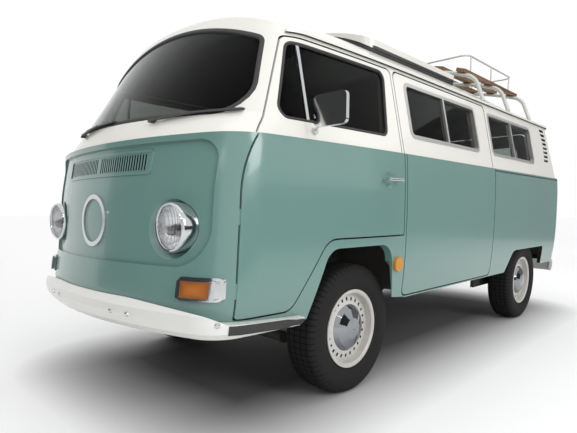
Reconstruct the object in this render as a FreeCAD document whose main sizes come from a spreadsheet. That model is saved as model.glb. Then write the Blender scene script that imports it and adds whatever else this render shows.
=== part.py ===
import FreeCAD, Part
import math
import os
import re

import Sketcher
from FreeCAD import Placement, Rotation, Vector

# Camper van of about 1970: a rear-engined one-box van with a rising roof and a roof rack.
# Millimetres. The origin is on the ground, below the centre of its length and width.
# +X is the vehicle's left, -Y its front, +Z up.

os.makedirs("parts", exist_ok=True)
doc = FreeCAD.newDocument("CamperVan")

# Driving sizes
SIZES = (
    # Overall layout
    ("front_overhang", 1035), ("wheelbase", 2400), ("rear_overhang", 985), ("front_track", 1384),
    ("rear_track", 1426), ("running_gap", 0.3), ("overrun", 60), ("shortest_edge", 0.03),
    # Body shell
    ("sill_height", 440), ("belt_height", 1200), ("gutter_height", 1655), ("roof_height", 1956),
    ("body_half_width", 862), ("belt_ledge", 14), ("tumblehome", 93), ("wall", 40), ("roof_wall", 28),
    ("panel_gap", 7), ("nose_setback", 38), ("nose_rake", 74), ("cowl_rake", 31), ("screen_rake", 261),
    ("tail_setback", 90), ("tail_rake", 40), ("tailgate_rake", 80), ("cowl_height", 90),
    ("nose_crown", 1950), ("nose_corner", 225), ("screen_crown", 1250), ("screen_corner", 215),
    ("side_crown", 14000), ("side_crown_start", 480), ("tail_crown", 4000), ("tail_corner", 195),
    ("roof_spring_half_width", 745), ("roof_reach_half_width", 900), ("recess_depth", 14),
    ("recess_half_width", 715), ("recess_base", 685), ("recess_top", 1176), ("recess_radius", 80),
    ("recess_foot_radius", 160), ("lamp_dish_radius", 138), ("lamp_dish_run", 52),
    # Side openings, measured from the axles
    ("door_lead", 771), ("cab_door_length", 1086), ("door_sill", 52), ("door_head", 22), ("post_width", 30),
    ("slider_length", 1201), ("slider_sill", 14), ("slider_radius", 40), ("shut_line_bend", 70),
    ("shut_line_sweep", 335), ("shut_line_lean", 43), ("door_corner", 12), ("door_foot_radius", 80),
    ("door_arch_radius", 110), ("door_head_radius", 30), ("door_bend_radius", 180),
    ("door_sweep_radius", 500), ("front_arch_top", 736), ("front_arch_lead", 420),
    ("front_arch_trail", 262), ("front_arch_slope", 150), ("front_arch_back_slope", 60),
    ("arch_radius", 95), ("arch_pocket_skin", 24), ("arch_pocket_radius", 392), ("rear_arch_top", 600),
    ("rear_arch_lead", 600), ("rear_arch_trail", 319), ("rear_arch_slope", 190),
    ("rear_arch_back_radius", 30), ("rear_arch_front_radius", 120), ("door_arch_margin", 46),
    ("door_foot_lead", 497), ("door_arch_lead", 285), ("track_slot", 9), ("track_slot_depth", 18),
    ("track_slot_drop", 12),
    # Windows
    ("window_base", 94), ("window_top", 398), ("window_length", 921), ("window_radius", 46),
    ("slider_window_lead", 93), ("rear_window_lead", 221), ("window_frame", 20), ("frame_proud", 5),
    ("frame_depth", 26), ("pane", 4), ("pane_inset", 9), ("cab_window_lead", 223),
    ("cab_window_trail", 116), ("cab_window_lean", 125), ("cab_window_back_lean", 53),
    ("cab_window_top", 408), ("cab_window_base", 82), ("cab_window_radius", 38), ("quarter_light", 175),
    ("quarter_bar", 16), ("screen_base", 84), ("screen_half_width", 728), ("screen_top_half_width", 640),
    ("screen_side_height", 430), ("screen_top", 560), ("screen_radius", 105), ("screen_inset", 6),
    # Rear doors
    ("tailgate_half_width", 590), ("tailgate_top_half_width", 545), ("tailgate_base", 1140),
    ("tailgate_head", 14), ("tailgate_radius", 80), ("tailgate_window_margin", 92), ("lid_half_width", 405),
    ("lid_base", 608), ("lid_top", 1070), ("lid_radius", 70), ("rear_panel_half_width", 660),
    ("rear_panel_depth", 270), ("plate_hole_half_spread", 140), ("plate_hole_height", 540),
    ("plate_hole_radius", 3), ("plate_hole_depth", 60),
    # Rear pillar vents
    ("vent_slots", 8), ("vent_slot", 16), ("vent_pitch", 38), ("vent_base", 140), ("vent_length", 95),
    ("vent_lead", 432), ("vent_bow", 30),
    # Rising roof
    ("rising_front", 394), ("rising_length", 1112), ("rising_half_width", 575),
    ("rising_edge_height", 1862), ("rising_crown_height", 1985), ("rising_radius", 70), ("rising_wall", 24),
    ("rising_flange", 90), ("rising_seal", 10), ("rising_seal_height", 25),
    # Gutter
    ("gutter_reach", 14), ("gutter_depth", 8), ("gutter_lip", 3), ("gutter_lip_tall", 14),
    # Lamps, grille and nose ring
    ("lamp_half_spread", 553), ("lamp_height", 838), ("lamp_radius", 100), ("lamp_front", 2080),
    ("lamp_rim", 15), ("lamp_bulge", 14), ("lamp_depth", 70), ("lamp_rim_depth", 9),
    ("signal_half_spread", 683), ("signal_height", 608), ("signal_width", 162), ("signal_tall", 90),
    ("signal_radius", 16), ("signal_base_proud", 8), ("signal_proud", 24), ("signal_rim", 9),
    ("repeater_radius", 37), ("repeater_proud", 15), ("repeater_trail", 266), ("repeater_height", 630),
    ("tail_lamp_half_spread", 735), ("tail_lamp_height", 850), ("tail_lamp_width", 84),
    ("tail_lamp_tall", 190), ("grille_half_width", 395), ("grille_base", 1050), ("grille_tall", 104),
    ("grille_radius", 18), ("grille_slots", 20), ("grille_slot", 8), ("grille_pitch", 17.4),
    ("grille_slot_tall", 66), ("grille_divider", 36), ("grille_plate", 7), ("grille_groove", 4),
    ("grille_border", 12), ("inlet_half_width", 372), ("inlet_tall", 76), ("ring_height", 856),
    ("ring_radius", 118), ("ring_band", 20), ("ring_proud", 9),
    # Wipers
    ("wiper_half_spread", 315), ("wiper_offset", 30), ("wiper_height", 1276), ("wiper_boss_radius", 11),
    ("wiper_reach", 310), ("wiper_lift", 22), ("wiper_blade", 9), ("wiper_blade_proud", 18),
    ("wiper_start", 50),
    # Bumpers
    ("bumper_base", 425), ("bumper_tall", 123), ("bumper_depth", 46), ("bumper_half_width", 884),
    ("bumper_crown", 2300), ("bumper_corner", 185), ("bumper_step_end", 450), ("bumper_step_top", 486),
    ("bumper_step_fall", 40), ("bumper_shoulder", 164), ("bumper_gap", 8), ("bumper_bracket_reach", 16),
    ("rear_bumper_base", 328), ("rear_bumper_tall", 122), ("rear_bumper_half_width", 800),
    ("rear_bumper_depth", 50), ("rear_bumper_corner", 70), ("rear_bumper_wrap", 150), ("bracket", 40),
    ("rear_bracket_length", 80),
    # Wheels and tyres
    ("tyre_radius", 322), ("tyre_half_width", 92), ("tyre_bulge_radius", 262), ("tread_half_width", 68),
    ("bead_radius", 182), ("bead_half_width", 69), ("tyre_neck_half_width", 73), ("tyre_neck_radius", 198),
    ("flange_radius", 195), ("flange_half_width", 79), ("flange_lip", 5), ("rim_well_radius", 160),
    ("rim_well_half_width", 24), ("rim_sheet", 6), ("dish_depth", 38), ("hub_face", 50),
    ("vent_ring_radius", 144), ("rim_vents", 24), ("rim_vent", 9), ("rim_vent_tall", 15),
    ("cap_radius", 116), ("cap_rise", 40), ("drum_radius", 126), ("stub_radius", 18), ("backplate", 5),
    ("backplate_gap", 6), ("drum_back", 18), ("drum_wall", 8), ("hub_bore", 40), ("hub_boss", 34),
    # Front and rear axles
    ("kingpin_offset", 100), ("kingpin_radius", 20), ("upright_half_height", 88), ("arm_thick", 24),
    ("beam_lead", 150), ("beam_radius", 28), ("beam_half_length", 440), ("arm_width", 30),
    ("beam_half_spread", 75), ("eye_radius", 26), ("steering_arm", 110), ("steering_arm_drop", 60),
    ("steering_arm_thick", 20), ("torsion_radius", 52), ("torsion_lead", 420), ("torsion_half_length", 560),
    ("torsion_height", 400), ("rear_arm_tall", 90), ("rear_arm_width", 26), ("rear_hub_radius", 45),
    ("shaft_radius", 16), ("engine_half_width", 300), ("engine_length", 460), ("engine_base", 300),
    ("engine_tall", 380), ("engine_trail", 70), ("gearbox_half_width", 110), ("gearbox_base", 250),
    ("gearbox_tall", 210), ("muffler_radius", 72), ("muffler_half_length", 250), ("muffler_height", 345),
    ("tailpipe_radius", 17), ("tailpipe_side", 190), ("muffler_trail", 805), ("tailpipe_trail", 950),
    ("tailpipe_drop", 45), ("exhaust_radius", 20), ("exhaust_side", 150),
    # Floor
    ("floor_height", 520), ("floor_plate", 26), ("rail_half_spread", 350), ("rail_width", 60),
    ("rail_tall", 80), ("outrigger", 50), ("outrigger_tall", 60), ("rail_lead", 825), ("house_inner", 410),
    ("house_lead", 425), ("house_trail", 372), ("house_top", 752), ("house_plate", 16),
    ("rear_house_inner", 545), ("rear_house_span", 370), ("deck_height", 960), ("deck_lead", 375),
    ("bulkhead", 20), ("rear_house_top", 740),
    # Cab and cabin fittings
    ("dash_depth", 170), ("dash_tall", 190), ("dash_setback", 60), ("wheel_side", 420),
    ("hand_wheel_radius", 200), ("hand_wheel_grip", 12), ("hand_wheel_tilt", 32),
    ("hand_wheel_height", 1165), ("hand_wheel_lead", 430), ("column_radius", 20), ("column_length", 740),
    ("hub_radius", 42), ("hub_length", 40), ("spoke", 26), ("spoke_thick", 8), ("column_stay", 40),
    ("column_stay_drop", 123), ("seat_width", 480), ("seat_length", 480), ("seat_thick", 140),
    ("seat_side", 430), ("seat_back_tall", 600), ("seat_back_thick", 110), ("seat_lead", 325),
    ("cabinet_depth", 400), ("cabinet_length", 1150), ("cabinet_tall", 560), ("cabinet_trail", 440),
    ("cabinet_side", 808), ("bench_length", 420), ("bench_tall", 410), ("cushion", 110),
    ("bench_back_thick", 80), ("bed_length", 900), ("bench_half_width", 525), ("outrigger_pitch", 560),
    ("outriggers", 3),
    # Mirrors and handles
    ("mirror_lead", 351), ("mirror_base_height", 1240), ("mirror_out", 125), ("mirror_rise", 66),
    ("mirror_forward", 37), ("mirror_arm_radius", 5), ("mirror_half_width", 82), ("mirror_half_tall", 64),
    ("mirror_thick", 18), ("mirror_boss_radius", 14), ("mirror_boss_proud", 12), ("mirror_radius", 22),
    ("handle_lead", 145), ("handle_height", 1057), ("handle_length", 120), ("handle_radius", 8),
    ("handle_proud", 36), ("handle_dish_radius", 42), ("handle_dish_depth", 12),
    # Hinges
    ("hinge_height", 60), ("hinge_low", 600), ("hinge_high", 880), ("hinge_side", 60),
    ("lid_hinge_side", 60), ("hinge_inset", 4), ("tail_hinge_inset", 3.5),
    # Roof rack
    ("rack_first", 1545), ("rack_pitch", 490), ("rack_hoops", 3), ("rack_tube_radius", 14),
    ("rack_foot_half_width", 751), ("rack_foot", 44), ("rack_foot_thick", 8), ("rack_foot_tall", 24),
    ("rack_leg_half_width", 710), ("rack_leg_height", 1787), ("rack_bend_half_width", 672),
    ("rack_bend_height", 1846), ("rack_half_width", 615), ("rack_height", 1876),
    ("rack_crown_height", 1980), ("slat_width", 70), ("slat_thick", 24), ("slat_length", 1060),
    ("slats", 8), ("slat_lead", 30), ("slat_half_spread", 585), ("rack_rail_height", 2045),
    ("rack_rail_radius", 6), ("rack_rail_half_width", 590), ("rack_rail_corner", 60),
    ("rack_rail_lead", 88), ("rack_rail_length", 895), ("rack_post_radius", 5),
)

# Places and sizes worked out from the driving sizes, inside the sheet
DERIVED_SIZES = (
    ("axle_front", "=front_overhang - (front_overhang + wheelbase + rear_overhang) / 2"),
    ("axle_rear", "=axle_front + wheelbase"),
    ("bore_radius", "=stub_radius + running_gap"),
    ("seat_radius", "=bead_radius - running_gap"),
    ("seat_inner_radius", "=seat_radius - rim_sheet"),
    ("well_inner_radius", "=rim_well_radius - rim_sheet"),
    ("well_shoulder", "=rim_well_half_width + rim_sheet * 2"),
    ("flange_inside", "=flange_half_width - flange_lip"),
    ("dish_face", "=flange_half_width - dish_depth"),
    ("dish_back", "=dish_face - rim_sheet"),
    ("cap_low_share", "=0.45"), ("cap_high_share", "=0.84"),
    ("cap_top", "=hub_face + cap_rise"),
    ("cap_middle", "=hub_face + cap_rise * cap_high_share"),
    ("cap_shoulder", "=hub_face + cap_rise * cap_low_share"),
    ("cap_middle_radius", "=cap_radius * cap_low_share"),
    ("cap_shoulder_radius", "=cap_radius * cap_high_share"),
    ("drum_inner_radius", "=drum_radius - drum_wall"),
    ("spindle_height", "=tyre_radius"),
    ("kingpin_side", "=front_track / 2 - kingpin_offset"),
    ("rail_base", "=floor_height - rail_tall"),
    ("floor_top", "=floor_height + floor_plate"),
    ("seat_base", "=house_top + house_plate + running_gap"),
    ("bulkhead_place", "=axle_rear - deck_lead"),
    ("torsion_place", "=axle_rear - torsion_lead"),
    ("engine_front", "=axle_rear + engine_trail"),
    ("muffler_place", "=axle_rear + muffler_trail"),
    ("lens_middle_share", "=0.55"), ("lens_top_share", "=0.8"),
    ("lens_radius", "=lamp_radius - lamp_rim"),
    ("lens_edge", "=lamp_front - lamp_rim_depth"),
    ("lens_middle", "=lamp_front + lamp_bulge * lens_middle_share"),
    ("lens_middle_radius", "=lens_radius * lens_middle_share"),
    ("lens_top", "=lamp_front + lamp_bulge * lens_top_share"),
    ("lamp_back", "=lamp_front - lamp_depth"),
)

sheet = doc.addObject("Spreadsheet::Sheet", "Sizes")
for row, (alias, content) in enumerate(SIZES + DERIVED_SIZES, start=1):
    cell = "A%d" % row
    sheet.set(cell, str(content))
    sheet.setAlias(cell, alias)
doc.recompute()


class Sheet:
    """The driving sizes by name, as plain numbers."""

    def __getattr__(self, alias):
        return float(getattr(sheet, alias))


size = Sheet()

# Places worked out from the driving sizes
LENGTH = size.front_overhang + size.wheelbase + size.rear_overhang
FRONT_AXLE = size.front_overhang - LENGTH / 2
REAR_AXLE = FRONT_AXLE + size.wheelbase
NOSE = -LENGTH / 2 + size.nose_setback
TAIL = LENGTH / 2 - size.tail_setback
UP = Vector(0, 0, 1)
ACROSS = Vector(1, 0, 0)
ALONG = Vector(0, 1, 0)

# Body sections, as shares: height from sill to belt, half width, nose rake, tail rake
LOWER_SECTION_SHARES = (
    (0.0, 0.972, 0.25, 0.6), (0.2, 0.990, 0.0, 0.1), (0.33, 0.9965, 0.22, 0.0),
    (0.54, 1.0, 0.42, 0.0), (0.78, 0.999, 0.68, 0.08), (1.0, 0.988, 1.0, 0.25),
)
# Upper body: height from belt to gutter, tumblehome, cowl rake, screen rake, tail rake, screen crown
COWL_SHARE = size.cowl_height / (size.gutter_height - size.belt_height)
UPPER_SECTION_SHARES = (
    (0.0, 0.0, 0.0, 0.0, 0.0, 1.5),
    (COWL_SHARE, COWL_SHARE, 1.0, 0.0, COWL_SHARE, 1.0),
    (1.0, 1.0, 1.0, 1.0, 1.0, 1.25),
    (1.8, 1.8, 1.0, 2.0, 2.3, 1.5),
)
# Roof crown along the length, as shares of the length from nose to tail and of the roof's rise
ROOF_CROWN_SHARES = (
    (0.04, -0.72), (0.063, -0.26), (0.086, 0.13), (0.109, 0.435), (0.133, 0.64), (0.168, 0.804),
    (0.226, 0.93), (0.32, 0.987), (0.5, 1.0), (0.71, 0.973), (0.84, 0.87), (0.91, 0.72),
    (0.965, 0.49), (1.02, 0.12),
)


# Height of the roof's crowned surface at its first section, over the windscreen's foot
FRONT_SPRING = size.gutter_height + ROOF_CROWN_SHARES[0][1] * (size.roof_height - size.gutter_height)


def circle_meet(first, first_radius, second, second_radius):
    """The meeting points of two circles in plan."""
    apart = second - first
    distance = apart.Length
    along = (first_radius ** 2 - second_radius ** 2 + distance ** 2) / (2 * distance)
    aside = math.sqrt(first_radius ** 2 - along ** 2)
    direction = apart.normalize()
    normal = Vector(direction.y, -direction.x, 0)
    middle = first + direction * along
    return middle + normal * aside, middle - normal * aside


def mirrored(point):
    return Vector(-point.x, point.y, point.z)


def plan_outline(height, half, front, crown, corner, rear, rear_crown, rear_corner, bow):
    """A closed plan section: crowned front, corner, bowed side, straight side, corner, crowned rear."""
    bow_start = FRONT_AXLE + size.side_crown_start
    crown_centre = Vector(0, front + crown, height)
    bow_centre = Vector(half - bow, bow_start, height)
    meets = circle_meet(crown_centre, crown - corner, bow_centre, bow - corner)
    corner_centre = [place for place in meets if place.x > 0 and place.y < bow_start][0]
    to_crown = (corner_centre - crown_centre).normalize()
    to_bow = (corner_centre - bow_centre).normalize()
    corner_start = corner_centre + to_crown * corner
    corner_end = corner_centre + to_bow * corner
    corner_middle = corner_centre + (to_crown + to_bow).normalize() * corner
    side_start = Vector(half, bow_start, height)
    side_middle = bow_centre + (to_bow + ACROSS).normalize() * bow
    rear_centre = Vector(0, rear - rear_crown, height)
    rear_x = half - rear_corner
    rear_y = rear_centre.y + math.sqrt((rear_crown - rear_corner) ** 2 - rear_x ** 2)
    rear_corner_centre = Vector(rear_x, rear_y, height)
    to_rear = (rear_corner_centre - rear_centre).normalize()
    side_end = Vector(half, rear_y, height)
    tail_middle = rear_corner_centre + (to_rear + ACROSS).normalize() * rear_corner
    tail_start = rear_corner_centre + to_rear * rear_corner
    edges = (
        Part.Arc(mirrored(corner_start), Vector(0, front, height), corner_start),
        Part.Arc(corner_start, corner_middle, corner_end),
        Part.Arc(corner_end, side_middle, side_start),
        Part.LineSegment(side_start, side_end),
        Part.Arc(side_end, tail_middle, tail_start),
        Part.Arc(tail_start, Vector(0, rear, height), mirrored(tail_start)),
        Part.Arc(mirrored(tail_start), mirrored(tail_middle), mirrored(side_end)),
        Part.LineSegment(mirrored(side_end), mirrored(side_start)),
        Part.Arc(mirrored(side_start), mirrored(side_middle), mirrored(corner_end)),
        Part.Arc(mirrored(corner_end), mirrored(corner_middle), mirrored(corner_start)),
    )
    return Part.Wire([edge.toShape() for edge in edges])


def body_outline(height, half, front, crown, corner, rear, inset):
    """A plan section of the body, moved in from the skin by inset."""
    return plan_outline(
        height, half - inset, front + inset, crown - inset, corner - inset, rear - inset,
        size.tail_crown - inset, size.tail_corner - inset, size.side_crown - inset)


def block(x_low, x_high, y_low, y_high, z_low, z_high):
    return Part.makeBox(x_high - x_low, y_high - y_low, z_high - z_low, Vector(x_low, y_low, z_low))


def lower_body(inset, smooth=False):
    rise = size.belt_height - size.sill_height
    wires = []
    for up, width, nose, tail in LOWER_SECTION_SHARES:
        wires.append(body_outline(
            size.sill_height + up * rise, width * size.body_half_width, NOSE + nose * size.nose_rake,
            size.nose_crown, size.nose_corner, TAIL - tail * size.tail_rake, inset))
    return Part.makeLoft(wires, True, not smooth)


def upper_sections(inset):
    rise = size.gutter_height - size.belt_height
    half = size.body_half_width * LOWER_SECTION_SHARES[-1][1] - size.belt_ledge
    front = NOSE + size.nose_rake + size.belt_ledge
    rear = TAIL - LOWER_SECTION_SHARES[-1][3] * size.tail_rake - size.belt_ledge
    wires = []
    for up, lean, cowl, rake, tail, crown in UPPER_SECTION_SHARES:
        wires.append(body_outline(
            size.belt_height + up * rise, half - lean * size.tumblehome,
            front + cowl * size.cowl_rake + rake * size.screen_rake, crown * size.screen_crown,
            size.screen_corner, rear - tail * size.tailgate_rake, inset))
    return wires


def roof_dome(drop, lift=0.0, smooth=False):
    """Everything below the roof's crowned surface, moved down by drop or up by lift."""
    wires = []
    reach = size.roof_reach_half_width
    base = size.belt_height - size.overrun
    rise = size.roof_height - size.gutter_height
    for along, crown in ROOF_CROWN_SHARES:
        y = NOSE + along * (TAIL - NOSE)
        height = crown * rise
        radius = (size.roof_spring_half_width ** 2 + height ** 2) / (2 * height)
        fall = radius - math.copysign(math.sqrt(radius ** 2 - reach ** 2), radius)
        top = size.gutter_height + height - drop + lift
        low_right = Vector(-reach, y, base)
        low_left = Vector(reach, y, base)
        high_left = Vector(reach, y, top - fall)
        high_right = Vector(-reach, y, top - fall)
        wires.append(Part.Wire([
            Part.LineSegment(low_right, low_left).toShape(),
            Part.LineSegment(low_left, high_left).toShape(),
            Part.Arc(high_left, Vector(0, y, top), high_right).toShape(),
            Part.LineSegment(high_right, low_right).toShape()]))
    ahead = block(
        -reach, reach, NOSE - size.overrun, wires[0].BoundBox.YMin, base, FRONT_SPRING - drop + lift)
    return Part.makeLoft(wires, True, not smooth).fuse(ahead)


def upper_body(inset, roof_inset, smooth=False):
    return Part.makeLoft(upper_sections(inset), True, True).common(roof_dome(roof_inset, 0.0, smooth))


def rounded(points, radii, to_point):
    """A closed outline through corner points, each corner rounded by its radius."""
    count = len(points)
    corners = []
    for index in range(count):
        here = Vector(points[index][0], points[index][1], 0)
        before = Vector(points[index - 1][0], points[index - 1][1], 0)
        after = Vector(points[(index + 1) % count][0], points[(index + 1) % count][1], 0)
        radius = radii[index] if isinstance(radii, (list, tuple)) else radii
        back = (before - here).normalize()
        ahead = (after - here).normalize()
        if radius == 0:
            corners.append((here, None, here))
            continue
        half_turn = back.getAngle(ahead) / 2
        reach = radius / math.tan(half_turn)
        centre = here + (back + ahead).normalize() * (radius / math.sin(half_turn))
        middle = centre + (here - centre).normalize() * radius
        corners.append((here + back * reach, middle, here + ahead * reach))
    edges = []
    for index in range(count):
        start, middle, end = corners[index]
        if middle is not None:
            edges.append(Part.Arc(to_point(start), to_point(middle), to_point(end)).toShape())
        following = corners[(index + 1) % count][0]
        if (following - end).Length > size.shortest_edge:
            edges.append(Part.LineSegment(to_point(end), to_point(following)).toShape())
    return Part.Wire(edges)


def side_prism(points, radii, start, end):
    """A side-view outline (Y, Z) carried across the body from X = start to X = end."""
    wire = rounded(points, radii, lambda p: Vector(start, p.x, p.y))
    return Part.Face(wire).extrude(ACROSS * (end - start))


def front_prism(points, radii, start, end):
    """A front-view outline (X, Z) carried along the body from Y = start to Y = end."""
    wire = rounded(points, radii, lambda p: Vector(p.x, start, p.y))
    return Part.Face(wire).extrude(ALONG * (end - start))


def plan_prism(points, radii, start, end):
    """A plan outline (X, Y) carried up from Z = start to Z = end."""
    wire = rounded(points, radii, lambda p: Vector(p.x, p.y, start))
    return Part.Face(wire).extrude(UP * (end - start))


def offset_outline(points, grow):
    """An outline's corners moved outwards by grow, square to the edges; the corners run anticlockwise."""
    moved = []
    count = len(points)
    for index in range(count):
        here = Vector(points[index][0], points[index][1], 0)
        before = Vector(points[index - 1][0], points[index - 1][1], 0)
        after = Vector(points[(index + 1) % count][0], points[(index + 1) % count][1], 0)
        first = (here - before).normalize()
        second = (after - here).normalize()
        first_out = Vector(first.y, -first.x, 0)
        second_out = Vector(second.y, -second.x, 0)
        bisector = (first_out + second_out).normalize()
        moved_point = here + bisector * (grow / bisector.dot(first_out))
        moved.append((moved_point.x, moved_point.y))
    return moved


SUB_PARTS = []


def feature(label, shape):
    """A sub-part whose shape is made here from the sheet's sizes."""
    node = doc.addObject("Part::Feature", label)
    node.Label = label
    node.Shape = shape
    SUB_PARTS.append(node)
    return node


WIDE = size.roof_reach_half_width + size.overrun

# Panel outlines in side view, anticlockwise, seen with the rear to the right
DOOR_FRONT = FRONT_AXLE - size.door_lead
DOOR_REAR = DOOR_FRONT + size.cab_door_length
DOOR_BASE = size.sill_height + size.door_sill
DOOR_TOP = size.gutter_height - size.door_head
SLIDER_FRONT = DOOR_REAR + size.post_width
SLIDER_REAR = SLIDER_FRONT + size.slider_length
SLIDER_BASE = size.sill_height + size.slider_sill
WINDOW_BASE = size.belt_height + size.window_base
WINDOW_TOP = size.belt_height + size.window_top


def cab_door_outline():
    arch_high = size.front_arch_top + size.door_arch_margin
    bend = size.belt_height + size.shut_line_bend
    return [
        (DOOR_FRONT, DOOR_BASE),
        (FRONT_AXLE - size.door_foot_lead, DOOR_BASE),
        (FRONT_AXLE - size.door_arch_lead, arch_high),
        (DOOR_REAR, arch_high),
        (DOOR_REAR, DOOR_TOP),
        (DOOR_FRONT + size.shut_line_sweep, DOOR_TOP),
        (DOOR_FRONT + size.shut_line_sweep / 2, bend),
        (DOOR_FRONT + size.shut_line_lean, size.belt_height - size.overrun),
    ]


CAB_DOOR_RADII = [
    size.door_corner, size.door_foot_radius, size.door_arch_radius, size.door_corner,
    size.door_head_radius, size.door_head_radius, size.door_bend_radius, size.door_sweep_radius]


def slider_outline():
    return [
        (SLIDER_FRONT, SLIDER_BASE), (SLIDER_REAR, SLIDER_BASE),
        (SLIDER_REAR, DOOR_TOP), (SLIDER_FRONT, DOOR_TOP),
    ]


def window_outline(front):
    return [
        (front, WINDOW_BASE), (front + size.window_length, WINDOW_BASE),
        (front + size.window_length, WINDOW_TOP), (front, WINDOW_TOP),
    ]


MID_WINDOW = SLIDER_FRONT + size.slider_window_lead
REAR_WINDOW = MID_WINDOW + size.window_length + size.rear_window_lead


def cab_window_outline():
    low = size.belt_height + size.cab_window_base
    high = size.belt_height + size.cab_window_top
    return [
        (DOOR_FRONT + size.cab_window_lead, low),
        (DOOR_REAR - size.cab_window_trail, low),
        (DOOR_REAR - size.cab_window_trail + size.cab_window_back_lean, high),
        (DOOR_FRONT + size.cab_window_lead + size.cab_window_lean, high),
    ]


def front_arch_outline():
    low = size.sill_height - size.overrun
    return [
        (FRONT_AXLE - size.front_arch_lead, low),
        (FRONT_AXLE + size.front_arch_trail, low),
        (FRONT_AXLE + size.front_arch_trail - size.front_arch_back_slope, size.front_arch_top),
        (FRONT_AXLE - size.front_arch_lead + size.front_arch_slope, size.front_arch_top),
    ]


def rear_arch_outline():
    low = size.sill_height - size.overrun
    return [
        (REAR_AXLE - size.rear_arch_lead, low),
        (REAR_AXLE + size.rear_arch_trail, low),
        (REAR_AXLE + size.rear_arch_trail, size.rear_arch_top),
        (REAR_AXLE - size.rear_arch_lead + size.rear_arch_slope, size.rear_arch_top),
    ]


# The windscreen is cut from the nose back to this place, ahead of the doors
SCREEN_END = NOSE + size.nose_rake + size.belt_ledge + size.cowl_rake + size.screen_rake + size.screen_corner


def screen_prism(shrink):
    """The windscreen opening in front view: an arched top over a nearly straight base."""
    base = size.belt_height + size.screen_base + shrink
    side = size.belt_height + size.screen_side_height - shrink
    top = size.belt_height + size.screen_top - shrink
    wide = size.screen_half_width - shrink
    high = size.screen_top_half_width - shrink
    start = NOSE - size.overrun
    corners = [(-wide, base), (wide, base), (high, side), (-high, side)]
    block_part = front_prism(corners, [size.screen_radius] * 2 + [0, 0], start, SCREEN_END)
    left = Vector(high, start, side)
    right = Vector(-high, start, side)
    arch = Part.Wire([
        Part.Arc(left, Vector(0, start, top), right).toShape(), Part.LineSegment(right, left).toShape()])
    arch_part = Part.Face(arch).extrude(ALONG * (SCREEN_END - start))
    return block_part.fuse(arch_part).removeSplitter()


# Body shells between two insets from the skin, each made once
lower_outer = lower_body(0, True)
lower_inner = lower_body(size.wall)
upper_outer = upper_body(0, 0, True)
upper_inner = upper_body(size.wall, size.roof_wall)
walls = lower_outer.cut(lower_inner).fuse(upper_outer.cut(upper_inner))


def lower_layer(outer, inner, tool):
    """The part of a tool between two insets of the lower body."""
    return tool.common(lower_body(outer, True)).cut(lower_body(inner, True))


def upper_layer(outer, inner, tool):
    """The part of a tool between two insets of the upper body's inclined faces."""
    outside = Part.makeLoft(upper_sections(outer), True, True)
    inside = Part.makeLoft(upper_sections(inner), True, True)
    return tool.common(outside).cut(inside)


def both_sides(shape):
    return shape, shape.mirror(Vector(0, 0, 0), ACROSS)


def cab_door_holes():
    """The cab doors' openings, with the gap round them."""
    return both_sides(side_prism(
        offset_outline(cab_door_outline(), size.panel_gap), CAB_DOOR_RADII, DOOR_INSIDE, WIDE))


def body_openings():
    """What is cut from the body: doors, windows, arches, lids, lamp holes."""
    tools = []
    tools.extend(cab_door_holes())
    tools.append(side_prism(
        offset_outline(slider_outline(), size.panel_gap), size.slider_radius, DOOR_INSIDE, WIDE))
    tools.append(side_prism(window_outline(MID_WINDOW), size.window_radius, -WIDE, -DOOR_INSIDE))
    tools.extend(both_sides(side_prism(window_outline(REAR_WINDOW), size.window_radius, DOOR_INSIDE, WIDE)))
    front_arch = side_prism(front_arch_outline(), [0, 0] + [size.arch_radius] * 2, DOOR_INSIDE, WIDE)
    tools.extend(both_sides(front_arch))
    rear_arch = side_prism(
        rear_arch_outline(), [0, 0, size.rear_arch_back_radius, size.rear_arch_front_radius], DOOR_INSIDE, WIDE)
    tools.extend(both_sides(rear_arch))
    pocket_reach = size.body_half_width - size.arch_pocket_skin - DOOR_INSIDE
    for axle in (FRONT_AXLE, REAR_AXLE):
        pocket = Part.makeCylinder(
            size.arch_pocket_radius, pocket_reach, Vector(DOOR_INSIDE, axle, size.tyre_radius), ACROSS)
        tools.extend(both_sides(pocket))
    tools.append(screen_prism(0))
    tools.append(front_prism(tailgate_outline(size.panel_gap), size.tailgate_radius, *TAIL_REACH))
    tools.append(front_prism(lid_outline(size.panel_gap), size.lid_radius, *TAIL_REACH))
    tools.append(front_prism(
        grille_corners(size.inlet_half_width, size.inlet_tall), size.grille_slot, NOSE - size.overrun, DOOR_FRONT))
    tools.append(rising_prism(-size.rising_flange, size.gutter_height, size.roof_height + size.overrun))
    tools.extend(lamp_cuts())
    tools.append(track_slot())
    tools.extend(plate_holes())
    tools.extend(both_sides(Part.makeCompound(vent_slots())))
    return tools


DOOR_INSIDE = size.house_inner
TAIL_REACH = (REAR_AXLE, TAIL + size.overrun)


def tailgate_outline(grow):
    low = size.tailgate_base - grow
    high = size.gutter_height - size.tailgate_head + grow
    wide = size.tailgate_half_width + grow
    narrow = size.tailgate_top_half_width + grow
    return [(-wide, low), (wide, low), (narrow, high), (-narrow, high)]


def lid_outline(grow):
    wide = size.lid_half_width + grow
    return [(-wide, size.lid_base - grow), (wide, size.lid_base - grow),
            (wide, size.lid_top + grow), (-wide, size.lid_top + grow)]


def rising_prism(grow, low, high):
    front = FRONT_AXLE + size.rising_front - grow
    back = front + size.rising_length + 2 * grow
    wide = size.rising_half_width + grow
    radius = max(size.rising_radius + grow, size.rising_wall)
    return plan_prism([(-wide, front), (wide, front), (wide, back), (-wide, back)], radius, low, high)


def grille_corners(half, tall):
    """A low wide rectangle about the middle of the air inlet, in front view."""
    low = size.grille_base + (size.grille_tall - tall) / 2
    return [(-half, low), (half, low), (half, low + tall), (-half, low + tall)]


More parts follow.
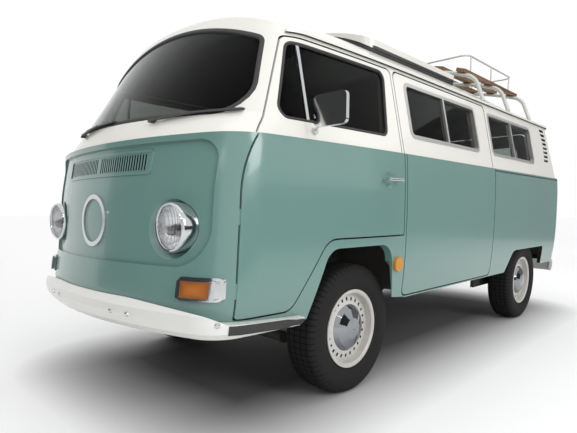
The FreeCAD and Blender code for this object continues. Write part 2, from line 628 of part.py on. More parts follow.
def lamp_cuts():
    """A round hole through the nose at each headlight, with a shallow dish pressed round it."""
    start = -size.lamp_front - size.overrun
    hole = Part.makeCylinder(
        size.lamp_radius + size.running_gap, size.overrun + size.lamp_depth + size.overrun,
        Vector(size.lamp_half_spread, start, size.lamp_height), ALONG)
    dish = Part.makeCone(
        size.lamp_dish_radius + size.lamp_dish_run, size.lamp_radius, size.overrun + size.lamp_dish_run,
        Vector(size.lamp_half_spread, start, size.lamp_height), ALONG)
    return both_sides(hole) + both_sides(dish)


def track_slot():
    """The sliding door's rail slot, under the belt behind the door."""
    top = size.belt_height - size.track_slot_drop
    tool = block(
        DOOR_INSIDE, WIDE, SLIDER_REAR + size.panel_gap, TAIL - size.tail_corner, top - size.track_slot, top)
    return lower_layer(-size.overrun, size.track_slot_depth, tool)


def plate_holes():
    """Two screw holes through the skin under the engine lid, which take a number plate."""
    hole = Part.makeCylinder(
        size.plate_hole_radius, TAIL + size.overrun - REAR_AXLE,
        Vector(size.plate_hole_half_spread, REAR_AXLE, size.plate_hole_height), ALONG)
    return both_sides(lower_layer(-size.overrun, size.plate_hole_depth, hole))


def vent_slots():
    """A crescent of short slots in the rear pillar."""
    slots = []
    middle = (size.vent_slots - 1) / 2
    for index in range(int(size.vent_slots)):
        low = size.belt_height + size.vent_base + index * size.vent_pitch
        share = (index - middle) / middle
        lead = REAR_AXLE + size.vent_lead - size.vent_bow * share ** 2
        slots.append(block(DOOR_INSIDE, WIDE, lead, lead + size.vent_length, low, low + size.vent_slot))
    return slots


def recess_region():
    """The pressed panel of the nose, in front view."""
    wide = size.recess_half_width
    return front_prism(
        [(-wide, size.recess_base), (wide, size.recess_base),
         (wide, size.recess_top), (-wide, size.recess_top)],
        [size.recess_foot_radius] * 2 + [size.recess_radius] * 2,
        NOSE - size.overrun, FRONT_AXLE - size.door_lead)


def nose_region():
    """All that lies ahead of the cab doors' front shut lines."""
    low = size.sill_height - size.overrun
    inside = size.overrun
    return side_prism(
        [(NOSE - size.overrun, low), (DOOR_FRONT + inside, low),
         (DOOR_FRONT + inside, size.belt_height - 2 * inside),
         (DOOR_FRONT + size.shut_line_sweep / 2 + inside, size.belt_height + size.shut_line_bend),
         (DOOR_FRONT + size.shut_line_sweep + inside, DOOR_TOP),
         (DOOR_FRONT + size.shut_line_sweep + inside, size.gutter_height),
         (NOSE - size.overrun, size.gutter_height)], 0, -WIDE, WIDE)


recess = lower_layer(-size.overrun, size.recess_depth, recess_region())
grille_pocket = lower_layer(-size.overrun, size.recess_depth + size.grille_plate, front_prism(
    grille_corners(size.grille_half_width, size.grille_tall), size.grille_radius, NOSE - size.overrun, DOOR_FRONT))
shell = walls.cut([recess, grille_pocket] + body_openings())

low_half = block(-WIDE, WIDE, -LENGTH, LENGTH, 0, size.gutter_height)
rear_tool = block(
    -size.rear_panel_half_width, size.rear_panel_half_width, TAIL - size.rear_panel_depth,
    TAIL + size.overrun, 0, size.gutter_height)
nose_tool = nose_region()
feature("nose_panel", shell.common(nose_tool))
feature("rear_panel", shell.common(rear_tool))
flank = shell.common(low_half).cut([nose_tool, rear_tool])
feature("side_panel_left", flank.common(block(0, WIDE, -LENGTH, LENGTH, 0, size.gutter_height)))
feature("side_panel_right", flank.common(block(-WIDE, 0, -LENGTH, LENGTH, 0, size.gutter_height)))


def gutter():
    """The rain gutter round the roof: a shelf with a raised lip, open above the windscreen."""
    level = size.gutter_height
    sections = upper_sections(-size.gutter_reach)[2], upper_sections(size.roof_wall)[2]
    lip_inside = upper_sections(-size.gutter_reach + size.gutter_lip)[2]
    shelf = Part.Face(sections[0]).extrude(UP * size.gutter_depth)
    lip = Part.Face(sections[0]).extrude(UP * size.gutter_lip_tall)
    lip = lip.cut(Part.Face(lip_inside).extrude(UP * size.gutter_lip_tall))
    ring = shelf.fuse(lip).cut(Part.Face(sections[1]).extrude(UP * size.gutter_lip_tall))
    front = NOSE + size.nose_rake + size.cowl_rake + size.screen_rake + size.screen_corner
    return ring.cut(block(-WIDE, WIDE, -LENGTH, front, 0, level + size.overrun))


roof_skin = shell.common(block(-WIDE, WIDE, -LENGTH, LENGTH, size.gutter_height, LENGTH))
feature("roof_panel", roof_skin.fuse(gutter()))


def left_side(shape):
    return shape


def right_side(shape):
    return shape.mirror(Vector(0, 0, 0), ACROSS)


SIDES = (("left", left_side), ("right", right_side))


outside = lower_outer.fuse(upper_outer)


def skin_reach(y, height):
    """How far out the body's skin lies at a place along the side."""
    probe = Part.makeLine(Vector(0, y, height), Vector(WIDE, y, height))
    return max(vertex.Point.x for vertex in probe.common(outside).Vertexes)


def end_reach(x, height, direction):
    """How far forward (-1) or back (1) the body's skin lies at a place across it."""
    probe = Part.makeLine(Vector(x, 0, height), Vector(x, direction * LENGTH, height))
    return max(vertex.Point.y * direction for vertex in probe.common(outside).Vertexes) * direction


def hinge_place(height):
    """A point on the cab door's hinge line: in its front gap, just under the skin."""
    lean = size.shut_line_lean / (size.belt_height - size.overrun - DOOR_BASE)
    y = DOOR_FRONT + lean * (height - DOOR_BASE) - size.panel_gap / 2
    return Vector(skin_reach(y, height) - size.hinge_inset, y, height)


def hinge_pin(place, direction, leaf):
    """A pin that fills a shut line's gap, with a leaf let into the panel that it carries."""
    radius = size.panel_gap / 2 - size.running_gap
    start = place - direction * (size.hinge_height / 2)
    pin = Part.makeCylinder(radius, size.hinge_height, start, direction)
    side = direction.cross(leaf)
    corner = start - side * radius
    face = Part.Face(Part.makePolygon([
        corner, corner + side * (2 * radius), corner + side * (2 * radius) + leaf * size.panel_gap,
        corner + leaf * size.panel_gap, corner]))
    return pin.fuse(face.extrude(direction * size.hinge_height))


HINGE_LOW = hinge_place(size.hinge_low)
HINGE_HIGH = hinge_place(size.hinge_high)
HINGE_LINE = (HINGE_HIGH - HINGE_LOW).normalize()

handle_y = DOOR_REAR - size.handle_lead
handle_dish = Part.makeCone(
    size.handle_dish_radius - size.handle_dish_depth,
    size.handle_dish_radius + size.overrun - size.handle_dish_depth, size.overrun,
    Vector(skin_reach(handle_y, size.handle_height) - size.handle_dish_depth, handle_y, size.handle_height),
    ACROSS)
door_skin = walls.common(side_prism(cab_door_outline(), CAB_DOOR_RADII, DOOR_INSIDE, WIDE))
door_window = side_prism(cab_window_outline(), size.cab_window_radius, DOOR_INSIDE, WIDE)
door_skin = door_skin.cut([door_window, handle_dish])
pins = [hinge_pin(place, HINGE_LINE, ALONG) for place in (HINGE_LOW, HINGE_HIGH)]
door_skin = door_skin.fuse(pins)

cab_glass = side_prism(
    offset_outline(cab_window_outline(), -size.running_gap), size.cab_window_radius, DOOR_INSIDE, WIDE)
bar_y = DOOR_FRONT + size.cab_window_lead + size.quarter_light
bar_tool = block(DOOR_INSIDE, WIDE, bar_y - size.quarter_bar / 2, bar_y + size.quarter_bar / 2, 0, LENGTH)
bar_room = block(
    DOOR_INSIDE, WIDE, bar_y - size.quarter_bar / 2 - size.running_gap,
    bar_y + size.quarter_bar / 2 + size.running_gap, 0, LENGTH)
door_glass = upper_layer(size.pane_inset, size.pane_inset + size.pane, cab_glass.cut(bar_room))
quarter_bar = upper_layer(size.screen_inset / 2, size.frame_depth, cab_glass.common(bar_tool))

for side, turn in SIDES:
    feature("cab_door_%s" % side, turn(door_skin))
    feature("cab_door_glass_%s" % side, turn(door_glass))

slider_window = side_prism(window_outline(MID_WINDOW), size.window_radius, DOOR_INSIDE, WIDE)
slider = walls.common(side_prism(slider_outline(), size.slider_radius, DOOR_INSIDE, WIDE))
slider = slider.cut(slider_window)
guides = []
for height in (size.hinge_low, size.hinge_high):
    guides.append(block(
        size.body_half_width - size.wall, size.body_half_width - size.wall / 2,
        SLIDER_FRONT - size.panel_gap + size.running_gap, SLIDER_REAR + size.panel_gap - size.running_gap,
        height, height + size.hinge_height).cut(block(
            0, WIDE, SLIDER_FRONT + size.panel_gap, SLIDER_REAR - size.panel_gap, 0, LENGTH)))
feature("sliding_door", slider.fuse(guides))


def side_slab(outer, inner):
    """A layer between two insets of the upper body's flat side, on the left."""
    rise = size.gutter_height - size.belt_height
    half = size.body_half_width * LOWER_SECTION_SHARES[-1][1] - size.belt_ledge
    corners = []
    for inset, high in ((outer, 0), (outer, 1), (inner, 1), (inner, 0), (outer, 0)):
        x = half - high * size.tumblehome - inset
        corners.append(Vector(x, -LENGTH / 2, size.belt_height + high * rise))
    return Part.Face(Part.makePolygon(corners)).extrude(ALONG * LENGTH)


def window_parts(front):
    """The aluminium frame and two sliding panes of one side window, on the left."""
    edges = window_outline(front)
    outer = side_prism(offset_outline(edges, -size.running_gap), size.window_radius, DOOR_INSIDE, WIDE)
    hole = side_prism(
        offset_outline(edges, -size.window_frame), size.window_radius / 2, DOOR_INSIDE, WIDE)
    middle = front + size.window_length / 2
    half = size.window_frame / 2
    bar = block(DOOR_INSIDE, WIDE, middle - half, middle + half, 0, LENGTH)
    frame = outer.cut(hole.cut(bar)).common(side_slab(-size.frame_proud, size.frame_depth))
    glazed = side_prism(
        offset_outline(edges, -size.window_frame - size.running_gap), size.window_radius / 2,
        DOOR_INSIDE, WIDE)
    edge = half + size.running_gap
    sheets = []
    for low, high, inset in (
            (front, middle - edge, size.pane_inset),
            (middle + edge, front + size.window_length, size.pane_inset + size.pane + size.frame_proud)):
        pane = glazed.common(block(DOOR_INSIDE, WIDE, low, high, 0, LENGTH))
        sheets.append(pane.common(side_slab(inset, inset + size.pane)))
    return frame, sheets


mid_frame, mid_panes = window_parts(MID_WINDOW)
rear_frame, rear_panes = window_parts(REAR_WINDOW)
frames = [mid_frame, rear_frame, right_side(mid_frame), right_side(rear_frame)]
panes = mid_panes + rear_panes
panes = panes + [right_side(pane) for pane in panes]
feature("side_window_frames", Part.makeCompound(frames))
screen = upper_layer(
    size.screen_inset, size.screen_inset + size.pane + size.screen_inset / 2, screen_prism(size.running_gap))
feature("body_glass", Part.makeCompound([screen] + panes))

gate_window_outline = offset_outline(tailgate_outline(0), -size.tailgate_window_margin)
gate_window = front_prism(gate_window_outline, size.tailgate_radius, *TAIL_REACH)
gate = walls.common(front_prism(tailgate_outline(0), size.tailgate_radius, *TAIL_REACH)).cut(gate_window)
gate_glass = front_prism(
    offset_outline(gate_window_outline, -size.running_gap), size.tailgate_radius, *TAIL_REACH)


GATE_HINGE = size.gutter_height - size.tailgate_head + size.panel_gap / 2
LID_HINGE = size.lid_top + size.panel_gap / 2
GATE_HINGE_Y = end_reach(0, GATE_HINGE, 1) - size.tail_hinge_inset
LID_HINGE_Y = end_reach(0, LID_HINGE, 1) - size.tail_hinge_inset
gate_pins = [hinge_pin(Vector(x, GATE_HINGE_Y, GATE_HINGE), ACROSS, -UP)
             for x in (-size.hinge_side, size.hinge_side)]
lid_pins = [hinge_pin(Vector(x, LID_HINGE_Y, LID_HINGE), ACROSS, -UP)
            for x in (-size.lid_hinge_side, size.lid_hinge_side)]
feature("tailgate", gate.fuse(gate_pins))
feature("tailgate_glass", upper_layer(size.pane_inset, size.pane_inset + size.pane, gate_glass))
lid = walls.common(front_prism(lid_outline(0), size.lid_radius, *TAIL_REACH))
feature("engine_lid", lid.fuse(lid_pins))


def rising_roof():
    """The rising roof's moulded top: a shell over a set-in seal, following the roof's crown."""
    low = size.gutter_height
    high = size.rising_crown_height + size.overrun
    drop = size.rising_crown_height - size.rising_edge_height
    radius = (size.rising_half_width ** 2 + drop ** 2) / (2 * drop)
    start = Vector(0, FRONT_AXLE, size.rising_crown_height - radius)
    crown = Part.makeCylinder(radius, size.wheelbase, start, ALONG)
    under = Part.makeCylinder(radius - size.rising_wall, size.wheelbase, start, ALONG)
    cap = rising_prism(0, low, high).common(crown).cut(roof_dome(0, size.rising_seal_height))
    seal = rising_prism(-size.rising_seal, low, high).common(roof_dome(0, size.rising_seal_height))
    seal = seal.cut(roof_dome(0, size.running_gap, True))
    hollow = rising_prism(-size.rising_wall, low, high).common(under)
    return cap.fuse(seal).cut(hollow)


feature("rising_roof", rising_roof())

# Nose fittings that follow the skin
GAP = size.running_gap
NOSE_REACH = (NOSE - size.overrun, DOOR_FRONT + size.overrun)


def grille():
    """The fresh-air grille: a bordered plate let into the nose, with two rows of upright slots."""
    half = size.grille_half_width - GAP
    tall = size.grille_tall - 2 * GAP
    border = size.grille_border
    whole = front_prism(grille_corners(half, tall), size.grille_radius, *NOSE_REACH)
    field = front_prism(
        grille_corners(half - border, tall - 2 * border), size.grille_radius / 2, *NOSE_REACH)
    plate = lower_layer(size.recess_depth, size.recess_depth + size.grille_plate - GAP, whole)
    rim = lower_layer(size.recess_depth - size.grille_groove, size.recess_depth + GAP, whole.cut(field))
    slots = []
    low = size.grille_base + (size.grille_tall - size.grille_slot_tall) / 2
    high = low + size.grille_slot_tall
    for index in range(int(size.grille_slots)):
        start = size.grille_divider / 2 + index * size.grille_pitch
        end = start + size.grille_slot
        slots.extend(both_sides(front_prism(
            [(start, low), (end, low), (end, high), (start, high)], 0, *NOSE_REACH)))
    return plate.fuse(rim).cut(slots)


feature("fresh_air_grille", grille())

ring_start = Vector(0, NOSE_REACH[0], size.ring_height)
ring_length = NOSE_REACH[1] - NOSE_REACH[0]
ring_tube = Part.makeCylinder(size.ring_radius, ring_length, ring_start, ALONG)
ring_hole = Part.makeCylinder(size.ring_radius - size.ring_band, ring_length, ring_start, ALONG)
feature("nose_ring", lower_layer(
    size.recess_depth - size.ring_proud, size.recess_depth - GAP, ring_tube.cut(ring_hole)))


def lamp_block(middle, half_wide, height, half_tall, rim, start, end):
    """A lamp on the skin: a shallow surround and a prouder lens within it."""
    corners = [(middle - half_wide, height - half_tall), (middle + half_wide, height - half_tall),
               (middle + half_wide, height + half_tall), (middle - half_wide, height + half_tall)]
    whole = front_prism(corners, size.signal_radius, start, end)
    lens = front_prism(offset_outline(corners, -rim), size.signal_radius / 2, start, end)
    surround = lower_layer(-size.signal_base_proud, -GAP, whole)
    return surround.fuse(lower_layer(-size.signal_proud, -GAP, lens))


signal = lamp_block(
    size.signal_half_spread, size.signal_width / 2, size.signal_height, size.signal_tall / 2, size.signal_rim,
    NOSE_REACH[0], FRONT_AXLE)
repeater = lower_layer(-size.repeater_proud, -GAP, Part.makeCylinder(
    size.repeater_radius, WIDE - DOOR_INSIDE,
    Vector(DOOR_INSIDE, FRONT_AXLE + size.repeater_trail, size.repeater_height), ACROSS))
feature("turn_signals", Part.makeCompound([signal, right_side(signal), repeater, right_side(repeater)]))
tail_lamp = lamp_block(
    size.tail_lamp_half_spread, size.tail_lamp_width / 2, size.tail_lamp_height, size.tail_lamp_tall / 2,
    size.signal_rim, REAR_AXLE, TAIL + size.overrun)
feature("tail_lamps", Part.makeCompound([tail_lamp, right_side(tail_lamp)]))


def wiper(x):
    """One wiper: a boss on the cowl, an arm and a blade parked over the glass, both to the left."""
    z = size.wiper_height
    start = NOSE - size.overrun
    boss = upper_layer(-size.wiper_lift, -GAP, Part.makeCylinder(
        size.wiper_boss_radius, SCREEN_END - start, Vector(x, start, z), ALONG))
    wide = size.wiper_blade
    low = z + size.wiper_boss_radius
    blade_start = x + size.wiper_start
    blade_end = blade_start + size.wiper_reach
    blade = upper_layer(-size.wiper_blade_proud, -GAP, front_prism(
        [(blade_start, low), (blade_end, low + wide), (blade_end, low + wide + wide), (blade_start, low + wide)],
        0, start, SCREEN_END))
    tip = blade_start + size.wiper_reach / 2
    tip_low = low + wide / 2
    arm = upper_layer(-size.wiper_lift, -wide, front_prism(
        [(x, z - wide / 2), (tip, tip_low), (tip, tip_low + wide), (x, z + wide / 2)], 0, start, SCREEN_END))
    return boss.fuse([blade, arm])


feature("wipers", Part.makeCompound(
    [wiper(size.wiper_offset + side * size.wiper_half_spread) for side in (-1, 1)]))

# Bumper sections, as shares of the height and of the depth
BUMPER_SHARES = ((0.0, 0.35), (0.2, 0.85), (0.5, 1.0), (0.75, 0.9), (1.0, 0.45))
REAR_BUMPER_SHARES = ((0.0, 0.8), (0.3, 1.0), (0.7, 1.0), (1.0, 0.8))
BUMPER_NECK_SHARE = 0.75


def bumper_profile():
    """The front bumper in side view: tall across the nose, stepping down to the wings."""
    low = size.bumper_base
    front = -LENGTH / 2 - size.overrun
    shoulder = NOSE + size.nose_setback / 2
    end = FRONT_AXLE - size.bumper_step_end
    wing = -LENGTH / 2 + size.bumper_shoulder
    return [
        (front, low), (end, low), (end, low + size.bumper_step_fall),
        (wing + size.bumper_step_fall, size.bumper_step_top),
        (wing - size.bumper_step_fall / 2, low + size.bumper_tall * BUMPER_NECK_SHARE),
        (shoulder, low + size.bumper_tall), (front, low + size.bumper_tall)]


def front_bumper():
    outlines = []
    for up, out in BUMPER_SHARES:
        back = (1 - out) * size.bumper_depth
        outlines.append(plan_outline(
            size.bumper_base + up * size.bumper_tall, size.bumper_half_width - back, -LENGTH / 2 + back,
            size.bumper_crown - back, size.bumper_corner - back, 0, size.tail_crown, size.tail_corner,
            size.side_crown - back))
    solid = Part.makeLoft(outlines, True, True)
    step_skin = skin_reach(0, size.bumper_step_top)
    gap = size.bumper_gap
    inner = plan_outline(
        size.bumper_base - gap, step_skin + GAP, NOSE - gap, size.nose_crown + gap, size.nose_corner + gap,
        0, size.tail_crown, size.tail_corner, size.side_crown + gap)
    solid = solid.cut(Part.Face(inner).extrude(UP * (size.bumper_tall + 2 * gap)))
    solid = solid.common(side_prism(bumper_profile(), 0, -WIDE, WIDE))
    mounts = []
    for side in (-1, 1):
        middle = side * size.rail_half_spread
        mounts.append(lower_layer(-size.bumper_bracket_reach, -GAP, block(
            middle - size.bracket / 2, middle + size.bracket / 2, NOSE - size.overrun, FRONT_AXLE,
            size.floor_height - size.bracket, size.floor_height)))
    return solid.fuse(mounts)


feature("front_bumper", front_bumper())


def rear_bumper():
    """The rear blade bumper, with two brackets under the tail's lower edge."""
    wires = []
    for up, out in REAR_BUMPER_SHARES:
        back = (1 - out) * size.rear_bumper_depth
        wires.append(plan_outline(
            size.rear_bumper_base + up * size.rear_bumper_tall, size.rear_bumper_half_width - back, NOSE,
            size.nose_crown, size.nose_corner, LENGTH / 2 - back, size.tail_crown - back,
            size.rear_bumper_corner - back, size.side_crown - back))
    thick = size.rear_bumper_depth / 2
    inner = plan_outline(
        size.rear_bumper_base - thick, size.rear_bumper_half_width - thick, NOSE, size.nose_crown,
        size.nose_corner, LENGTH / 2 - thick, size.tail_crown - thick, size.rear_bumper_corner - thick,
        size.side_crown - thick)
    hollow = Part.Face(inner).extrude(UP * (size.rear_bumper_tall + 2 * thick))
    reach = block(
        -WIDE, WIDE, LENGTH / 2 - size.rear_bumper_wrap, LENGTH / 2 + size.overrun, 0, LENGTH)
    blade = Part.makeLoft(wires, True, True).cut(hollow).common(reach)
    brackets = []
    for side in (-1, 1):
        middle = side * size.rail_half_spread
        brackets.append(block(
            middle - size.bracket / 2, middle + size.bracket / 2, TAIL - size.rear_bracket_length,
            LENGTH / 2 - thick, size.sill_height - size.bracket, size.sill_height - GAP))
    return blade.fuse(brackets)


feature("rear_bumper", rear_bumper())


def wheel_house(axle, lead, trail, inner, top):
    """The closed box over one wheel, on the left, and the hollow inside it."""
    plate = size.house_plate
    box = block(
        inner - plate, WIDE, axle - lead - plate, axle + trail + plate, size.floor_height, top + plate)
    return box, block(inner, WIDE, axle - lead, axle + trail, 0, top)


def floor_pan():
    """Floor, engine deck, bulkhead, wheel boxes, chassis rails and outriggers, clear of the doors."""
    bulk = size.bulkhead_place
    top = size.floor_top
    deck_top = size.deck_height + size.floor_plate
    rail = size.rail_width / 2
    solids = [
        block(-WIDE, WIDE, bulk, LENGTH / 2, size.deck_height, deck_top),
        block(-WIDE, WIDE, bulk, bulk + size.bulkhead, size.floor_height, deck_top)]
    hollows = []
    for box, hollow in (
            wheel_house(FRONT_AXLE, size.house_lead, size.house_trail, size.house_inner, size.house_top),
            wheel_house(REAR_AXLE, size.rear_house_span, size.rear_house_span, size.rear_house_inner,
                        size.rear_house_top)):
        solids.extend(both_sides(box))
        hollows.extend(both_sides(hollow))
    for side in (-1, 1):
        middle = side * size.rail_half_spread
        solids.append(block(
            middle - rail, middle + rail, FRONT_AXLE - size.rail_lead,
            size.torsion_place - size.torsion_radius - size.running_gap, size.rail_base, size.floor_height))
    for index in range(int(size.outriggers)):
        start = FRONT_AXLE + size.house_trail + size.rail_width + index * size.outrigger_pitch
        solids.append(block(-WIDE, WIDE, start, start + size.outrigger,
                            size.floor_height - size.outrigger_tall, size.floor_height))
    plate = block(-WIDE, WIDE, NOSE, bulk + size.bulkhead, size.floor_height, top)
    pan = plate.fuse(solids).cut(hollows).common(lower_body(size.wall + size.running_gap))
    clear = lower_body(size.wall + size.panel_gap)
    lid_zone = front_prism(lid_outline(size.panel_gap), size.lid_radius, *TAIL_REACH)
    return pan.cut([zone.cut(clear) for zone in cab_door_holes() + (lid_zone,)])


feature("floor_pan", floor_pan())


def tube(start, end, radius):
    direction = end - start
    return Part.makeCylinder(radius, direction.Length, start, direction)


def dashboard():
    """The dashboard across the cab, and the steering column on its stay."""
    top = size.belt_height
    rear = NOSE + size.dash_setback + size.dash_depth + size.nose_rake
    board = block(-WIDE, WIDE, NOSE, rear, top - size.dash_tall, top)
    board = board.common(lower_body(size.wall + size.running_gap))
    clear = lower_body(size.wall + size.panel_gap)
    board = board.cut([zone.cut(clear) for zone in cab_door_holes()])
    lean = math.radians(size.hand_wheel_tilt)
    down = Vector(0, -math.sin(lean), -math.cos(lean))
    hub = Vector(-size.wheel_side, FRONT_AXLE - size.hand_wheel_lead, size.hand_wheel_height)
    column = tube(hub + down * (size.hub_length / 2 + size.running_gap), hub + down * size.column_length,
                  size.column_radius)
    column = column.cut(block(-WIDE, WIDE, -LENGTH, LENGTH, 0, size.floor_top + size.running_gap))
    stay_y = hub.y + down.y * size.column_stay_drop
    half = size.column_stay / 2
    stay_top = top - size.dash_tall / 2
    stay = block(hub.x - half, hub.x + half, rear - half, stay_y, stay_top - size.column_stay, stay_top)
    return board.fuse([column, stay])


feature("dashboard", dashboard())


def door_fittings():
    """Mirror, door handle and quarter-light bar of the left cab door."""
    y = FRONT_AXLE - size.mirror_lead
    z = size.mirror_base_height
    boss = upper_layer(-size.mirror_boss_proud, -GAP, Part.makeCylinder(
        size.mirror_boss_radius, WIDE - DOOR_INSIDE, Vector(DOOR_INSIDE, y, z), ACROSS))
    x = skin_reach(y, z)
    head = Vector(x + size.mirror_out, y - size.mirror_forward, z + size.mirror_rise)
    arm = tube(Vector(x + size.mirror_boss_proud / 2, y, z), head, size.mirror_arm_radius)
    wide = size.mirror_half_width
    tall = size.mirror_half_tall
    shell = front_prism(
        [(head.x - wide, head.z - tall), (head.x + wide, head.z - tall), (head.x + wide, head.z + tall),
         (head.x - wide, head.z + tall)], size.mirror_radius, head.y, head.y - size.mirror_thick)
    z = size.handle_height
    half = size.handle_length / 2
    grip = []
    for end in (-half, half):
        skin = skin_reach(handle_y + end, z)
        grip.append(Vector(skin + size.handle_proud, handle_y + end, z))
    posts = []
    for place in grip:
        posts.append(tube(Vector(skin_reach(place.y, z) + GAP, place.y, z), place, size.handle_radius))
    bar = tube(grip[0] - ALONG * size.handle_radius, grip[1] + ALONG * size.handle_radius, size.handle_radius)
    return Part.makeCompound([boss.fuse([arm, shell]), bar.fuse(posts), quarter_bar])


fittings = door_fittings()
for side, turn in SIDES:
    feature("cab_door_fittings_%s" % side, turn(fittings))


# Roof rack
RACK_RADIUS = (size.rack_half_width ** 2 + (size.rack_crown_height - size.rack_height) ** 2) / (
    2 * (size.rack_crown_height - size.rack_height))
RACK_CENTRE = size.rack_crown_height - RACK_RADIUS


def swept(edge, radius):
    """A round bar along an arc."""
    start = edge.FirstParameter
    section = Part.Wire([Part.makeCircle(radius, edge.valueAt(start), edge.tangentAt(start))])
    return Part.Wire([edge]).makePipeShell([section], True, True)


def rack_hoop():
    """One hoop across the middle: feet in the gutters, legs leaning in, a crowned bar over the roof."""
    shelf = size.gutter_height + size.gutter_depth
    foot = Vector(size.rack_foot_half_width, 0, shelf + size.rack_foot_tall / 2)
    leg = Vector(size.rack_leg_half_width, 0, size.rack_leg_height)
    bend = Vector(size.rack_bend_half_width, 0, size.rack_bend_height)
    shoulder = Vector(size.rack_half_width, 0, size.rack_height)
    crown = Vector(0, 0, size.rack_crown_height)
    radius = size.rack_tube_radius
    side = [swept(Part.Arc(leg, bend, shoulder).toShape(), radius), tube(foot, leg, radius)]
    joints = [Part.makeSphere(radius, leg), Part.makeSphere(radius, shoulder)]
    over = swept(Part.Arc(shoulder, crown, mirrored(shoulder)).toShape(), radius)
    hoop = over.fuse(side + joints + [right_side(piece) for piece in side + joints])
    base = shelf + size.running_gap
    toe = block(foot.x - size.rack_foot_thick / 2, foot.x + size.rack_foot_thick / 2,
                -size.rack_foot / 2, size.rack_foot / 2, base, base + size.rack_foot_tall)
    clear = size.gutter_height + size.gutter_lip_tall + size.running_gap
    hoop = hoop.common(block(-WIDE, WIDE, -LENGTH, LENGTH, clear, LENGTH))
    return hoop.fuse(both_sides(toe))


def crown_point(x, lift):
    """A point above the hoops' crown, lifted square to it, in front view."""
    lean = math.asin(x / RACK_RADIUS)
    reach = RACK_RADIUS + lift
    return Vector(reach * math.sin(lean), 0, RACK_CENTRE + reach * math.cos(lean)), lean


def rack_rail():
    """The thin raised rail round the load floor, on posts that stand on the slats."""
    front = FRONT_AXLE + size.rack_first + size.rack_rail_lead
    back = front + size.rack_rail_length
    wide = size.rack_rail_half_width
    z = size.rack_rail_height
    loop = rounded([(-wide, front), (wide, front), (wide, back), (-wide, back)], size.rack_rail_corner,
                   lambda p: Vector(p.x, p.y, z))
    start = loop.Edges[0]
    centre = start.valueAt(start.FirstParameter)
    along = start.tangentAt(start.FirstParameter)
    section = Part.Wire([Part.makeCircle(size.rack_rail_radius, centre, along)])
    rail = loop.makePipeShell([section], True, True)
    posts = []
    step = 2 * size.slat_half_spread / (size.slats - 1)
    top = size.rack_tube_radius + size.slat_thick + 2 * size.running_gap
    places = [(wide, front + size.rack_rail_corner), (wide, front + size.rack_rail_length / 2),
              (wide, back - size.rack_rail_corner), (step + step / 2, front), (step + step / 2, back)]
    for x, y in places:
        base, lean = crown_point(x, top)
        foot = base.z + (base.x - x) * math.tan(lean) + size.rack_post_radius * math.tan(lean)
        posts.extend(both_sides(Part.makeCylinder(size.rack_post_radius, z - foot, Vector(x, y, foot))))
    return rail.fuse(posts)


hoop = rack_hoop()
hoops = [hoop.translated(ALONG * (FRONT_AXLE + size.rack_first + index * size.rack_pitch))
         for index in range(int(size.rack_hoops))]
feature("rack_frame", Part.makeCompound(hoops + [rack_rail()]))


def rack_slats():
    """The wooden slats of the load floor, each laid flat on the crown of the hoops."""
    slats = []
    start = FRONT_AXLE + size.rack_first - size.slat_lead
    step = 2 * size.slat_half_spread / (size.slats - 1)
    corner = Vector(-size.slat_width / 2, start, 0)
    for index in range(int(size.slats)):
        base, lean = crown_point(index * step - size.slat_half_spread, size.rack_tube_radius + size.running_gap)
        slat = Part.makeBox(size.slat_width, size.slat_length, size.slat_thick, corner)
        slat.rotate(Vector(0, 0, 0), ALONG, math.degrees(lean))
        slat.translate(base)
        slats.append(slat)
    return Part.makeCompound(slats)


feature("rack_slats", rack_slats())


# Sub-parts built of document objects whose sizes are bound to the sheet
def sized(formula):
    """A formula in the sheet's words, ready for the expression engine."""
    return re.sub(r"[a-z][a-z_]+", lambda match: "Sizes." + match.group(0), formula)


def at(node, x, y, z, rotation=None):
    """Binds a document object's place to formulas."""
    if rotation is not None:
        node.Placement = Placement(Vector(0, 0, 0), rotation)
    for axis, formula in (("x", x), ("y", y), ("z", z)):
        node.setExpression(".Placement.Base." + axis, sized(formula))
    return node


def bar(label, x, y, z):
    """A box between low and high formulas along each axis."""
    node = doc.addObject("Part::Box", label)
    for name, (low, high) in (("Length", x), ("Width", y), ("Height", z)):
        node.setExpression(name, sized("(%s) - (%s)" % (high, low)))
    return at(node, x[0], y[0], z[0])


ALONG_X = Rotation(ALONG, 90)
ALONG_Y = Rotation(ACROSS, -90)


def rod(label, radius, length, x, y, z, rotation=None):
    """A round bar from a starting point, along Z unless it is turned."""
    node = doc.addObject("Part::Cylinder", label)
    node.setExpression("Radius", sized(radius))
    node.setExpression("Height", sized(length))
    return at(node, x, y, z, rotation)


def group(kind, label, members, kept=True):
    """A fused or gathered sub-part of document objects."""
    node = doc.addObject("Part::" + kind, label)
    node.Label = label
    if kind == "Compound":
        node.Links = members
    else:
        node.Shapes = members
    if kept:
        SUB_PARTS.append(node)
    return node


def reflected(label, source, kept=True):
    node = doc.addObject("Part::Mirroring", label)
    node.Label = label
    node.Source = source
    node.Normal = ACROSS
    if kept:
        SUB_PARTS.append(node)
    return node


